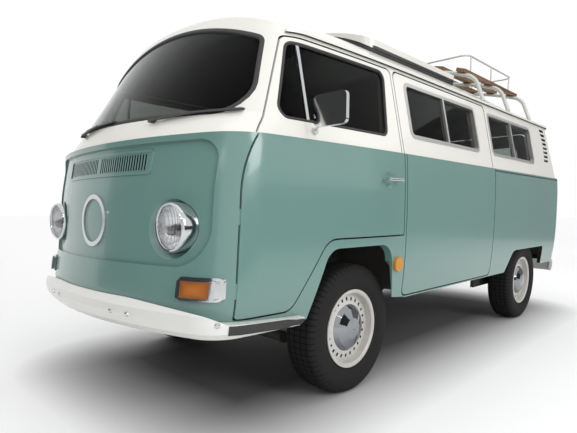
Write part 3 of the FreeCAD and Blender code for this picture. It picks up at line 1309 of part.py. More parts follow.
def turned_body(label, axis, vertices):
    """A body of revolution from a polygon of formula pairs, about the sketch's own axis."""
    body = doc.addObject("PartDesign::Body", label)
    body.Label = label
    plane = [item for item in body.Origin.OriginFeatures if item.Role == "XY_Plane"][0]
    sketch = body.newObject("Sketcher::SketchObject", label + "_profile")
    sketch.AttachmentSupport = [(plane, "")]
    sketch.MapMode = "FlatFace"
    points = []
    for across, up in vertices:
        place = []
        for alias in (across, up):
            sign = -1 if alias.startswith("-") else 1
            place.append(0.0 if alias == "0" else sign * getattr(size, alias.lstrip("-")))
        points.append(Vector(place[0], place[1], 0))
    count = len(points)
    for index in range(count):
        sketch.addGeometry(Part.LineSegment(points[index], points[(index + 1) % count]), False)
    for index in range(count):
        sketch.addConstraint(Sketcher.Constraint("Coincident", index, 2, (index + 1) % count, 1))
    for index, (across, up) in enumerate(vertices):
        for kind, alias, value, line in (
                ("DistanceX", across, points[index].x, -2), ("DistanceY", up, points[index].y, -1)):
            if alias == "0":
                sketch.addConstraint(Sketcher.Constraint("PointOnObject", index, 1, line))
                continue
            number = sketch.addConstraint(Sketcher.Constraint(kind, -1, 1, index, 1, value))
            sketch.setExpression("Constraints[%d]" % number, sized(alias))
    turn = body.newObject("PartDesign::Revolution", label + "_turned")
    turn.Profile = sketch
    turn.ReferenceAxis = (sketch, [axis])
    turn.Angle = 360
    body.Tip = turn
    return body


RIM_PROFILE = (
    ("cap_top", "0"), ("cap_middle", "cap_middle_radius"), ("cap_shoulder", "cap_shoulder_radius"),
    ("hub_face", "cap_radius"), ("dish_face", "vent_ring_radius"), ("hub_bore", "seat_inner_radius"),
    ("flange_inside", "seat_inner_radius"), ("flange_half_width", "bead_radius"),
    ("flange_half_width", "flange_radius"), ("flange_inside", "flange_radius"), ("flange_inside", "seat_radius"),
    ("well_shoulder", "seat_radius"), ("rim_well_half_width", "rim_well_radius"),
    ("-rim_well_half_width", "rim_well_radius"), ("-well_shoulder", "seat_radius"),
    ("-flange_inside", "seat_radius"), ("-flange_inside", "flange_radius"),
    ("-flange_half_width", "flange_radius"), ("-flange_half_width", "seat_inner_radius"),
    ("-well_shoulder", "seat_inner_radius"), ("-rim_well_half_width", "well_inner_radius"),
    ("dish_back", "well_inner_radius"), ("dish_back", "drum_radius"), ("-drum_back", "drum_radius"),
    ("-drum_back", "drum_inner_radius"), ("dish_back", "drum_inner_radius"), ("dish_back", "hub_boss"),
    ("-drum_back", "hub_boss"), ("-drum_back", "bore_radius"), ("hub_bore", "bore_radius"), ("hub_bore", "0"),
)
TYRE_PROFILE = (
    ("bead_half_width", "bead_radius"), ("tyre_neck_half_width", "tyre_neck_radius"),
    ("tyre_half_width", "tyre_bulge_radius"), ("tread_half_width", "tyre_radius"),
    ("-tread_half_width", "tyre_radius"), ("-tyre_half_width", "tyre_bulge_radius"),
    ("-tyre_neck_half_width", "tyre_neck_radius"), ("-bead_half_width", "bead_radius"),
)
SPIN_HALF = Rotation(UP, 180)


def vented_wheel(label):
    """A pressed wheel with its ring of vents, cap, drum and hub."""
    body = turned_body(label, "H_Axis", RIM_PROFILE)
    plane = [item for item in body.Origin.OriginFeatures if item.Role == "YZ_Plane"][0]
    sketch = body.newObject("Sketcher::SketchObject", label + "_vent")
    sketch.AttachmentSupport = [(plane, "")]
    sketch.MapMode = "FlatFace"
    half = size.rim_vent / 2
    tall = size.rim_vent_tall / 2
    ring = size.vent_ring_radius
    corners = (
        (0, -1.0, "0", "-rim_vent_tall / 2"), (1, -0.5, "rim_vent / 2", "-rim_vent_tall / 4"),
        (1, 0.5, "rim_vent / 2", "rim_vent_tall / 4"), (0, 1.0, "0", "rim_vent_tall / 2"),
        (-1, 0.5, "-rim_vent / 2", "rim_vent_tall / 4"), (-1, -0.5, "-rim_vent / 2", "-rim_vent_tall / 4"))
    points = [Vector(side * half, ring + up * tall, 0) for side, up, across, rise in corners]
    count = len(points)
    for index in range(count):
        sketch.addGeometry(Part.LineSegment(points[index], points[(index + 1) % count]), False)
    for index in range(count):
        sketch.addConstraint(Sketcher.Constraint("Coincident", index, 2, (index + 1) % count, 1))
    for index, (side, up, across, rise) in enumerate(corners):
        if across == "0":
            sketch.addConstraint(Sketcher.Constraint("PointOnObject", index, 1, -2))
        else:
            held = Sketcher.Constraint("DistanceX", -1, 1, index, 1, points[index].x)
            sketch.setExpression("Constraints[%d]" % sketch.addConstraint(held), sized(across))
        held = Sketcher.Constraint("DistanceY", -1, 1, index, 1, points[index].y)
        sketch.setExpression(
            "Constraints[%d]" % sketch.addConstraint(held), sized("vent_ring_radius + " + rise))
    pocket = body.newObject("PartDesign::Pocket", label + "_vent_cut")
    pocket.Profile = sketch
    pocket.Type = 1
    pocket.Midplane = True
    pattern = body.newObject("PartDesign::PolarPattern", label + "_vents")
    pattern.Originals = [pocket]
    axis = [item for item in body.Origin.OriginFeatures if item.Role == "X_Axis"][0]
    pattern.Axis = (axis, [""])
    pattern.Angle = 360
    pattern.setExpression("Occurrences", sized("rim_vents"))
    body.Tip = pattern
    return body


for place, axle, track in (("front", "axle_front", "front_track"), ("rear", "axle_rear", "rear_track")):
    for side, sign, turn in (("left", "", None), ("right", "-", SPIN_HALF)):
        wheel = vented_wheel("wheel_%s_%s" % (place, side))
        tyre = turned_body("tyre_%s_%s" % (place, side), "H_Axis", TYRE_PROFILE)
        for node in (wheel, tyre):
            at(node, "%s%s / 2" % (sign, track), axle, "tyre_radius", turn)
            SUB_PARTS.append(node)

lamp = turned_body("headlight", "V_Axis", (
    ("0", "-lens_top"), ("lens_middle_radius", "-lens_middle"), ("lens_radius", "-lens_edge"),
    ("lens_radius", "-lamp_front"), ("lamp_radius", "-lens_edge"), ("lamp_radius", "-lamp_back"),
    ("0", "-lamp_back")))
at(lamp, "lamp_half_spread", "0", "lamp_height")
group("Compound", "headlights", [lamp, reflected("headlight_mirrored", lamp, False)])


def knuckle():
    upright = rod("knuckle_upright", "kingpin_radius", "2 * upright_half_height",
                  "kingpin_side", "axle_front", "spindle_height - upright_half_height")
    stub = rod("knuckle_stub", "stub_radius", "kingpin_offset + hub_bore - running_gap",
               "kingpin_side", "axle_front", "spindle_height", ALONG_X)
    plate = rod("knuckle_plate", "drum_radius", "backplate",
                "front_track / 2 - drum_back - backplate_gap - backplate", "axle_front", "spindle_height", ALONG_X)
    arm = bar("knuckle_arm", ("kingpin_side - kingpin_radius / 2", "kingpin_side + kingpin_radius / 2"),
              ("axle_front", "axle_front + steering_arm"),
              ("spindle_height - steering_arm_drop", "spindle_height - steering_arm_drop + steering_arm_thick"))
    return group("MultiFuse", "knuckle_left", [upright, stub, plate, arm])


reflected("knuckle_right", knuckle())


def front_axle():
    """Two beam tubes with side plates up to the rails, and arms out to the knuckles' eyes."""
    beams = []
    for level, sign in (("high", "+"), ("low", "-")):
        beams.append(rod(
            "beam_" + level, "beam_radius", "2 * beam_half_length", "-beam_half_length",
            "axle_front - beam_lead", "spindle_height %s beam_half_spread" % sign, ALONG_X))
    arms = []
    for level, low, high in (
            ("high", "spindle_height + upright_half_height + running_gap",
             "spindle_height + upright_half_height + running_gap + arm_thick"),
            ("low", "spindle_height - upright_half_height - running_gap - arm_thick",
             "spindle_height - upright_half_height - running_gap")):
        arms.append(bar("arm_back_" + level, ("beam_half_length - arm_width", "beam_half_length"),
                        ("axle_front - beam_lead", "axle_front + arm_width / 2"), (low, high)))
        arms.append(bar("arm_out_" + level, ("beam_half_length - arm_width", "kingpin_side"),
                        ("axle_front - arm_width / 2", "axle_front + arm_width / 2"), (low, high)))
        arms.append(rod("arm_eye_" + level, "eye_radius", "arm_thick", "kingpin_side", "axle_front", low))
    plate = bar("beam_plate", ("rail_half_spread - rail_width / 2", "rail_half_spread + rail_width / 2"),
                ("axle_front - beam_lead - beam_radius", "axle_front - beam_lead + beam_radius"),
                ("spindle_height - beam_half_spread", "rail_base - running_gap"))
    side = group("MultiFuse", "front_axle_side", arms + [plate], False)
    group("MultiFuse", "front_axle", beams + [side, reflected("front_axle_far_side", side, False)])


front_axle()


def rear_axle():
    """The torsion tube, trailing arms, hub carriers and drive shafts."""
    torsion = rod("torsion_tube", "torsion_radius", "2 * torsion_half_length", "-torsion_half_length",
                  "torsion_place", "torsion_height", ALONG_X)
    outer = "rear_track / 2 - drum_back - backplate_gap"
    parts = [
        bar("torsion_bracket", ("rail_half_spread - rail_width / 2", "rail_half_spread + rail_width / 2"),
            ("torsion_place - rail_width / 2", "torsion_place + rail_width / 2"),
            ("torsion_height", "floor_height - running_gap")),
        bar("trailing_arm", ("torsion_half_length - rear_arm_width", "torsion_half_length"),
            ("torsion_place", "axle_rear + rail_width / 2"),
            ("spindle_height - rear_arm_tall / 2", "torsion_height + rear_arm_tall / 4")),
        rod("rear_hub", "rear_hub_radius", outer + " - torsion_half_length + rear_arm_width",
            "torsion_half_length - rear_arm_width", "axle_rear", "spindle_height", ALONG_X),
        rod("rear_plate", "drum_radius", "backplate", outer + " - backplate", "axle_rear",
            "spindle_height", ALONG_X),
        rod("rear_stub", "stub_radius", "drum_back + backplate_gap + hub_bore - running_gap",
            outer, "axle_rear", "spindle_height", ALONG_X),
        rod("drive_shaft", "shaft_radius", "torsion_half_length - gearbox_half_width - running_gap",
            "gearbox_half_width + running_gap", "axle_rear", "spindle_height", ALONG_X)]
    side = group("MultiFuse", "rear_axle_side", parts, False)
    group("MultiFuse", "rear_axle", [torsion, side, reflected("rear_axle_far_side", side, False)])


rear_axle()

pipes = [rod("exhaust_pipe_" + side, "exhaust_radius", "muffler_place - engine_front", sign + "exhaust_side",
             "engine_front", "muffler_height", ALONG_Y) for side, sign in (("left", ""), ("right", "-"))]
group("MultiFuse", "engine_block", pipes + [
    bar("engine", ("-engine_half_width", "engine_half_width"), ("engine_front", "engine_front + engine_length"),
        ("engine_base", "engine_base + engine_tall")),
    bar("gearbox", ("-gearbox_half_width", "gearbox_half_width"),
        ("torsion_place + torsion_radius + running_gap", "engine_front + gearbox_half_width"),
        ("gearbox_base", "gearbox_base + gearbox_tall")),
    rod("muffler", "muffler_radius", "2 * muffler_half_length", "-muffler_half_length", "muffler_place",
        "muffler_height", ALONG_X),
    rod("tailpipe", "tailpipe_radius", "tailpipe_trail - muffler_trail", "tailpipe_side", "muffler_place",
        "muffler_height - tailpipe_drop", ALONG_Y)])

seat_x = ("seat_side - seat_width / 2", "seat_side + seat_width / 2")
cushion = bar("seat_cushion", seat_x, ("axle_front - seat_lead", "axle_front - seat_lead + seat_length"),
              ("seat_base", "seat_base + seat_thick"))
backrest = bar("seat_back", seat_x,
               ("axle_front - seat_lead + seat_length - seat_back_thick", "axle_front - seat_lead + seat_length"),
               ("seat_base", "seat_base + seat_back_tall"))
seat = group("MultiFuse", "front_seat", [cushion, backrest], False)
group("Compound", "front_seats", [seat, reflected("front_seat_far", seat, False)])

bench_x = ("-bench_half_width", "bench_half_width")
deck_top = "deck_height + floor_plate + running_gap"
group("MultiFuse", "rear_bench", [
    bar("bench_base", bench_x, ("bulkhead_place - bench_length", "bulkhead_place - running_gap"),
        ("floor_top + running_gap", "floor_top + bench_tall")),
    bar("bench_back", bench_x, ("bulkhead_place - bench_back_thick", "bulkhead_place - running_gap"),
        ("floor_top + bench_tall / 2", deck_top + " + cushion")),
    bar("bed", bench_x, ("bulkhead_place - bench_back_thick", "bulkhead_place + bed_length"),
        (deck_top, deck_top + " + cushion"))])
cabinet = bar("cabinet", ("-cabinet_side", "-cabinet_side + cabinet_depth"),
              ("axle_front + cabinet_trail", "axle_front + cabinet_trail + cabinet_length"),
              ("floor_top + running_gap", "floor_top + cabinet_tall"))
SUB_PARTS.append(cabinet)

hand_ring = doc.addObject("Part::Torus", "hand_ring")
hand_ring.setExpression("Radius1", sized("hand_wheel_radius"))
hand_ring.setExpression("Radius2", sized("hand_wheel_grip"))
spokes = [bar("spoke_across", ("-hand_wheel_radius", "hand_wheel_radius"), ("-spoke / 2", "spoke / 2"),
              ("-spoke_thick / 2", "spoke_thick / 2"))]
steering = group("MultiFuse", "steering_wheel", [
    hand_ring, rod("steering_hub", "hub_radius", "hub_length", "0", "0", "-hub_length / 2")] + spokes)
at(steering, "-wheel_side", "axle_front - hand_wheel_lead", "hand_wheel_height",
   Rotation(ACROSS, -size.hand_wheel_tilt))

doc.recompute()
for node in SUB_PARTS:
    if "Invalid" in node.State or "Error" in node.State:
        raise RuntimeError("%s did not build" % node.Label)
    if node.Shape.isNull() or not node.Shape.isValid():
        raise RuntimeError("%s is not a sound solid" % node.Label)
    node.Shape.exportStep("parts/%s.step" % node.Label)
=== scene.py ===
"""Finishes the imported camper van: paint, glass, rubber, tyres, lamps, cushions, camera and light."""

import math

import bmesh
import bpy
from bpy.props import FloatProperty, FloatVectorProperty, IntProperty, PointerProperty
from mathutils import Matrix, Vector
from mathutils.bvhtree import BVHTree


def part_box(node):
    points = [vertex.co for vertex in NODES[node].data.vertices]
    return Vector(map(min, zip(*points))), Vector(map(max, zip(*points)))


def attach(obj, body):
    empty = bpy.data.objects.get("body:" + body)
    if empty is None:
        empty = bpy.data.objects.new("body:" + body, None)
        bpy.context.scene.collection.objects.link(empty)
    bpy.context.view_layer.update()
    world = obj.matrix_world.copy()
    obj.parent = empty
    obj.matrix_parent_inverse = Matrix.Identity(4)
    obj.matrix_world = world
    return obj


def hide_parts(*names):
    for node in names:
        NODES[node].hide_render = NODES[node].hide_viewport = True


bl_info = {
    "name": "Camper van finish",
    "version": (1, 0, 0),
    "blender": (4, 5, 0),
    "location": "View3D > Sidebar > Van",
    "description": "Paint, glass, rubber, tyres, lamps and cushions for the packed camper van",
    "category": "Object",
}

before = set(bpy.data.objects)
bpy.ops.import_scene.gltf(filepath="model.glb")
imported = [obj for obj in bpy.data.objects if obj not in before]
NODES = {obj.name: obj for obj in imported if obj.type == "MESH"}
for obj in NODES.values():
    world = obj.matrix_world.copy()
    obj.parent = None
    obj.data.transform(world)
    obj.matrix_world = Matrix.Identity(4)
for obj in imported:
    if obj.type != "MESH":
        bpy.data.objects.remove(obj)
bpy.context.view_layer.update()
UP = Vector((0, 0, 1))
ACROSS = Vector((1, 0, 0))
ALONG = Vector((0, 1, 0))
SIDES = (("left", 1), ("right", -1))
BELT = 1.2
FRONT_AXLE = -1.175
REAR_AXLE = 1.225
WHEEL_CENTRE = 0.322
NOSE_EDGE = -1.9
TAIL_EDGE = 1.95
# Near-black colour for painted shade in recesses, slots and vents
PAINTED_SHADE_BLACK = (0.004, 0.004, 0.004)
BRIGHT_RIM = (0.60, 0.61, 0.62)
CABINET_WOOD = ((0.16, 0.08, 0.035), (0.34, 0.20, 0.10))
PICTURE = (577, 433)
OPTICAL_CENTRE = (273.74, 252.04)

# Where the straight lines that search the van's skin start, before, behind or over it and beside it
BEYOND = 3.0
BESIDE = 2.0


# Shader maths
class Wire:
    """A socket of a material that takes part in Python expressions."""

    def __init__(self, shader, socket):
        self.shader = shader
        self.socket = socket

    def maths(self, operation, first, second=0.0, clamp=False):
        how = {"operation": operation, "use_clamp": clamp}
        return self.shader.node("ShaderNodeMath", how, {0: first, 1: second})

    def __add__(self, other):
        return self.maths("ADD", self, other)

    __radd__ = __add__

    def __sub__(self, other):
        return self.maths("SUBTRACT", self, other)

    def __rsub__(self, other):
        return self.maths("SUBTRACT", other, self)

    def __mul__(self, other):
        return self.maths("MULTIPLY", self, other)

    __rmul__ = __mul__

    def __truediv__(self, other):
        return self.maths("DIVIDE", self, other)

    def __pow__(self, other):
        return self.maths("POWER", self, other)

    def __abs__(self):
        return self.maths("ABSOLUTE", self)

    def clamped(self):
        return self.maths("ADD", self, 0.0, True)

    def over(self, edge, width=0.001):
        """1 where the value lies over an edge, 0 under it, with a short ramp between."""
        return ((self - edge) / width + 0.5).clamped()

    def under(self, edge, width=0.001):
        return 1 - self.over(edge, width)

    def sine(self):
        return self.maths("SINE", self)

    def angle_to(self, other):
        return self.maths("ARCTAN2", self, other)

    def highest(self, other):
        return self.maths("MAXIMUM", self, other)


class Finish:
    """One material, built from nodes on Object coordinates."""

    def __init__(self, name):
        self.material = bpy.data.materials.new(name)
        self.material.use_nodes = True
        self.tree = self.material.node_tree
        self.tree.nodes.clear()
        self.place = self.node("ShaderNodeTexCoord", {}, {}, "Object")
        self.normal = self.node("ShaderNodeNewGeometry", {}, {}, "Normal")

    def node(self, kind, settings, values, output=0):
        """Adds a node: its settings first, then the values or links of its sockets."""
        made = self.tree.nodes.new(kind)
        for key, value in settings.items():
            if key == "stops":
                while len(made.color_ramp.elements) < len(value):
                    made.color_ramp.elements.new(0.5)
                for element, (position, colour) in zip(made.color_ramp.elements, value):
                    element.position = position
                    element.color = (*colour, 1.0)
            else:
                setattr(made, key, value)
        for key, value in values.items():
            if isinstance(value, Wire):
                self.tree.links.new(value.socket, made.inputs[key])
            else:
                made.inputs[key].default_value = value
        return Wire(self, made.outputs[output])

    def axes(self, vector=None):
        """The three parts of a vector, the place by default."""
        split = self.tree.nodes.new("ShaderNodeSeparateXYZ")
        self.tree.links.new((vector or self.place).socket, split.inputs[0])
        return [Wire(self, socket) for socket in split.outputs]

    def stretched(self, scale):
        return self.node("ShaderNodeMapping", {}, {"Vector": self.place, "Scale": scale})

    def noise(self, scale, detail=3.0, roughness=0.5, vector=None):
        return self.node("ShaderNodeTexNoise", {}, {
            "Vector": vector or self.place, "Scale": scale, "Detail": detail, "Roughness": roughness}, "Fac")

    def cells(self, scale):
        return self.node("ShaderNodeTexVoronoi", {}, {"Vector": self.place, "Scale": scale}, "Distance")

    def bands(self, scale, distortion, vector):
        return self.node("ShaderNodeTexWave", {"bands_direction": "X"}, {
            "Vector": vector, "Scale": scale, "Distortion": distortion,
            "Detail": 3.0, "Detail Scale": 1.5}, "Fac")

    def mixed(self, share, first, second):
        """A colour between two others."""
        values = {0: share}
        for key, colour in ((6, first), (7, second)):
            values[key] = colour if isinstance(colour, Wire) else (*colour, 1.0)
        return self.node("ShaderNodeMix", {"data_type": "RGBA"}, values, 2)

    def surface(self, colour, roughness, metallic=0.0, relief=None, strength=0.2, depth=0.001, **constants):
        """Closes the material with a Principled shader; constants go on its own sockets."""
        values = {"Base Color": colour if isinstance(colour, Wire) else (*colour, 1.0),
                  "Roughness": roughness, "Metallic": metallic}
        if relief is not None:
            values["Normal"] = self.node("ShaderNodeBump", {}, {
                "Height": relief, "Strength": strength, "Distance": depth})
        for key, value in constants.items():
            values[key.replace("_", " ")] = value
        shader = self.node("ShaderNodeBsdfPrincipled", {}, values)
        end = self.tree.nodes.new("ShaderNodeOutputMaterial")
        self.tree.links.new(shader.socket, end.inputs["Surface"])
        return self.material


def scaled(colour, factor):
    return tuple(c * factor for c in colour)


def about_axle(y, z, axle):
    """The turn round a wheel's axle and the distance from it."""
    across = y - axle
    height = z - WHEEL_CENTRE
    return across.angle_to(height), (across * across + height * height) ** 0.5


# Painted shade in dark places of the paint, each told by the place and by how far the face looks sideways
def pocket_shade(x, y, z, sideways):
    """Painted shade in the pocket behind the fresh-air grille."""
    middle, half_wide, half_tall = 1.102, 0.392, 0.049
    return abs(x).under(half_wide) * abs(z - middle).under(half_tall) * y.under(NOSE_EDGE)


def slot_shade(x, y, z, sideways):
    """Painted shade on the walls of the grille's slots."""
    half_wide = 0.386
    return abs(sideways).over(0.6, 0.1) * abs(x).under(half_wide)


def vent_shade(x, y, z, sideways):
    """Painted shade in the crescent of slots in the rear pillar: dark rows painted on the skin where the
    slots open.
    """
    middle, half_tall, lowest, pitch, bow = 1.481, 0.133, 1.348, 0.038, 0.030
    front, rear, reach = 1.650, 1.760, 0.145
    share = (z - middle) / half_tall
    lead = y + share * share * bow
    rows = ((z - lowest) * (2 * math.pi / pitch) + math.pi / 2).sine().over(-0.25, 0.1)
    crescent = lead.over(front) * lead.under(rear) * abs(z - middle).under(reach)
    return rows * crescent * abs(sideways).over(0.5)


# Finishes
def coach_paint(name, lower, upper, trim, shade=None):
    """Two-tone coach enamel: green under the belt, off-white over it, near-black trim on inward faces that
    also stands for the shade inside the van, dust low down, painted shade where a shade mask is given.
    """
    look = Finish(name)
    x, y, z = look.axes()
    nx, ny, nz = look.axes(look.normal)
    over_belt = z.over(BELT - 0.0005)
    cloud = look.noise(2.4, 4.0)
    fine = look.noise(38.0, 2.0)
    patches = cloud * 0.5 + fine * 0.2
    green = look.mixed(patches, lower, scaled(lower, 1.12))
    cream = look.mixed(patches, upper, scaled(upper, 1.05))
    colour = look.mixed(over_belt, green, cream)
    dust = (z.under(0.50, 0.30) * look.noise(9.0, 5.0, 0.65) * 0.25).clamped()
    colour = look.mixed(dust, colour, (0.20, 0.19, 0.16))
    middle = 1.25
    facing = nx * x + ny * y + nz * (z - middle)
    at_nose = y.under(NOSE_EDGE, 0.01) * ny.under(0.3, 0.05)
    at_tail = y.over(TAIL_EDGE, 0.01) * ny.over(-0.3, 0.05)
    # Inward faces take the near-black trim colour, partly trim and partly painted shade inside the van
    inside = (facing.under(-0.25, 0.05) - at_nose - at_tail).clamped()
    colour = look.mixed(inside, colour, trim)
    # Painted shade: near-black where the shade mask marks a recess, slot or vent
    if shade:
        colour = look.mixed(shade(x, y, z, nx), colour, PAINTED_SHADE_BLACK)
    rough = fine * 0.06 + 0.2 + dust * 0.35 + inside * 0.4
    relief = look.noise(420.0, 2.0) * (1 - inside)
    return look.surface(colour, rough, relief=relief, strength=0.03, depth=0.0006,
                        Coat_Weight=(1 - inside) * 0.35, Coat_Roughness=0.06)


def white_enamel(name, colour, worn, seam=0.0, edge=0.0):
    """Painted steel or moulded shell in off-white, with a bumper's seam, and on the rising roof a black lower
    band that is partly seal and partly painted shade of the gap under the shell.
    """
    look = Finish(name)
    x, y, z = look.axes()
    cloud = look.noise(7.0, 5.0, 0.6)
    specks = look.noise(120.0, 3.0, 0.6)
    tint = look.mixed(cloud, colour, scaled(colour, 0.93))
    tint = look.mixed(specks.over(0.66, 0.05) * worn, tint, (0.24, 0.22, 0.19))
    if seam:
        at_seam = abs(abs(x) - seam).under(0.0012) * y.under(-2.0)
        tint = look.mixed(at_seam * 0.6, tint, (0.05, 0.05, 0.05))
    # A black band low on the shell's sides: partly the seal, partly painted shade in the gap under the shell
    if edge:
        side = 0.566
        tint = look.mixed(abs(x).over(side) * z.under(edge), tint, (0.012, 0.012, 0.012))
    return look.surface(tint, cloud * 0.12 + 0.24, relief=specks, strength=0.05, depth=0.0008,
                        Coat_Weight=0.3, Coat_Roughness=0.1)


def wheel_enamel(name, colour, chrome, axle, disc):
    """White steel wheel with a chrome cap, told apart by the distance from the axle, and painted shade in its
    vents and on its inner face.
    """
    look = Finish(name)
    x, y, z = look.axes()
    turn, reach = about_axle(y, z, axle)
    cap_radius, cap_from = 0.117, 0.70
    vents, vents_from, vents_to = 24.0, 0.1350, 0.1530
    cap = reach.under(cap_radius, 0.0015) * abs(x).over(cap_from, 0.004)
    cloud = look.noise(14.0, 5.0, 0.6)
    grime = (reach.over(0.150, 0.03) * cloud * 0.55).clamped()
    tint = look.mixed(grime, colour, (0.30, 0.27, 0.23))
    tint = look.mixed(cap, tint, chrome)
    # Painted shade: the vent holes and the wheel's inner face are painted near-black
    holes = (turn * vents + math.pi / 2).sine().over(0.5, 0.15)
    holes = holes * reach.over(vents_from) * reach.under(vents_to)
    tint = look.mixed(holes.highest(abs(x).under(disc + 0.001)), tint, PAINTED_SHADE_BLACK)
    rough = (1 - cap) * (cloud * 0.15 + 0.28) + cap * 0.07
    return look.surface(tint, rough, cap, relief=look.noise(150.0, 3.0), strength=0.05, depth=0.0006)


def tyre_rubber(name, axle):
    """Black tyre rubber with cross cuts in its shoulders and fine rings on its wall."""
    look = Finish(name)
    _, y, z = look.axes()
    turn, reach = about_axle(y, z, axle)
    shoulder, lugs = 0.296, 68.0
    cuts = (turn * lugs).sine().over(0.72, 0.2) * reach.over(shoulder, 0.004)
    rings = (reach * 520.0).sine() * reach.under(shoulder, 0.004)
    dusty = look.noise(18.0, 5.0, 0.65)
    tint = look.mixed(dusty * 0.7, (0.009, 0.009, 0.009), (0.022, 0.021, 0.020))
    # The cuts are painted darker than the rubber: painted shade in them
    tint = look.mixed(cuts, tint, (0.003, 0.003, 0.003))
    relief = rings * 0.12 + (1 - cuts)
    return look.surface(tint, dusty * 0.2 + 0.62, relief=relief, strength=0.6, depth=0.004,
                        Specular_IOR_Level=0.2)


def chrome_plate(name, colour=(0.58, 0.59, 0.60), rough=0.05):
    """Polished chrome with light pitting."""
    look = Finish(name)
    haze = look.noise(60.0, 4.0, 0.6)
    pits = look.noise(420.0, 2.0).over(0.68, 0.05)
    tint = look.mixed(pits * 0.4, colour, (0.30, 0.28, 0.26))
    return look.surface(tint, haze * 0.08 + pits * 0.2 + rough, 1.0)


def brushed_metal(name, colour, rough=0.34, metallic=1.0):
    """Drawn aluminium or galvanised tube with faint lines along it."""
    look = Finish(name)
    lines = look.noise(30.0, 6.0, 0.7, look.stretched((1.0, 0.15, 6.0)))
    tint = look.mixed(lines, colour, scaled(colour, 0.78))
    return look.surface(tint, lines * 0.16 + rough, metallic, relief=lines, strength=0.05, depth=0.0005)


def black_rubber(name, colour=(0.016, 0.016, 0.017), rough=0.5):
    """Weathered black rubber or moulded plastic."""
    look = Finish(name)
    bloom = look.noise(26.0, 5.0, 0.6)
    tint = look.mixed(bloom * 0.7, colour, tuple(c + 0.035 for c in colour))
    return look.surface(tint, bloom * 0.18 + rough, relief=look.noise(300.0, 3.0),
                        strength=0.12, depth=0.0006)


def window_glass(name, tint=(0.42, 0.46, 0.44)):
    """Clear toughened glass with a slight green tint and a film of dust."""
    look = Finish(name)
    film = look.noise(5.0, 4.0, 0.6)
    colour = look.mixed(film * 0.4, tint, scaled(tint, 0.9))
    return look.surface(colour, film * 0.02 + 0.01, Transmission_Weight=1.0, IOR=1.12)


def lamp_glass(name):
    """Fluted clear lamp glass."""
    look = Finish(name)
    x, _, z = look.axes()
    flutes = (x * 700.0).sine()
    steps = (z * 260.0).sine()
    return look.surface((0.93, 0.94, 0.95), look.noise(40.0) * 0.02 + 0.02, relief=flutes + steps * 0.5,
                        strength=0.35, depth=0.0015, Transmission_Weight=1.0, IOR=1.48)


def lens_and_rim(name, centre, half, colour, side_lens=False):
    """A coloured moulded lens in a bright surround, told apart in front view; the side's has no surround."""
    look = Finish(name)
    x, y, z = look.axes()
    along = abs(abs(x) - centre[0])
    over = abs(z - centre[1])
    edge = along.over(half[0], 0.0012).highest(over.over(half[1], 0.0012))
    depth = (along / half[0]).highest(over / half[1])
    if side_lens:
        behind_front = -1.3
        at_front = y.under(behind_front, 0.01)
        edge = edge * at_front
        depth = depth * at_front
        colour = look.mixed(1 - at_front, colour, (0.62, 0.26, 0.02))
    ribs = (z * 900.0).sine() * (1 - edge)
    cloud = look.noise(30.0, 4.0)
    # The lens is painted darker towards its edges
    tint = look.mixed((cloud * 0.3 + depth * depth * 0.7).clamped(), colour, (0.16, 0.045, 0.01))
    tint = look.mixed(edge, tint, BRIGHT_RIM)
    return look.surface(tint, (1 - edge) * 0.16 + edge * 0.1 + cloud * 0.05, edge, relief=ribs,
                        strength=0.25, depth=0.0008)


def oiled_wood(name, dark, light):
    """Wood with grain along Y, darker pores and weathered patches."""
    look = Finish(name)
    rings = look.bands(2.2, 5.5, look.stretched((7.0, 0.55, 7.0)))
    pores = look.noise(60.0, 5.0, 0.7, look.stretched((6.0, 0.35, 6.0)))
    patches = look.noise(4.0, 4.0)
    tint = look.mixed(rings * 0.6 + pores * 0.4, dark, light)
    tint = look.mixed(patches.over(0.55, 0.2) * 0.35, tint, scaled(dark, 0.6))
    return look.surface(tint, pores * 0.25 + 0.42, relief=rings * 0.4 + pores, strength=0.25, depth=0.0015)


def woven_cloth(name, colour, accent):
    """Upholstery cloth: a fine weave with a soft check of a second colour."""
    look = Finish(name)
    x, y, z = look.axes()
    check, threads = math.pi / 0.045, 4200.0
    check_x = (x * check).sine().over(0.55, 0.2)
    check_y = ((y + z) * check).sine().over(0.55, 0.2)
    weave = (x * threads).sine() * ((y + z) * threads).sine()
    fuzz = look.noise(200.0, 4.0, 0.7)
    tint = look.mixed((check_x + check_y) * 0.4, colour, accent)
    tint = look.mixed(fuzz * 0.35, tint, scaled(colour, 0.6))
    return look.surface(tint, fuzz * 0.1 + 0.8, relief=weave * 0.5 + fuzz, strength=0.3, depth=0.0008,
                        Sheen_Weight=0.3, Sheen_Roughness=0.5)


def moulded_plastic(name, colour):
    """Grained moulded plastic."""
    look = Finish(name)
    grain = look.cells(260.0)
    haze = look.noise(12.0, 4.0)
    tint = look.mixed(haze, colour, scaled(colour, 0.75))
    return look.surface(tint, haze * 0.12 + 0.5, relief=grain, strength=0.15, depth=0.0006)


def chassis_paint(name, colour):
    """Black underbody paint with road dust and a little rust."""
    look = Finish(name)
    dust = look.noise(6.0, 6.0, 0.65)
    rust = look.noise(22.0, 5.0, 0.7).over(0.62, 0.08)
    tint = look.mixed(dust * 0.5, colour, (0.13, 0.12, 0.10))
    tint = look.mixed(rust * 0.4, tint, (0.16, 0.07, 0.03))
    return look.surface(tint, dust * 0.2 + 0.6, relief=dust, strength=0.2, depth=0.002)


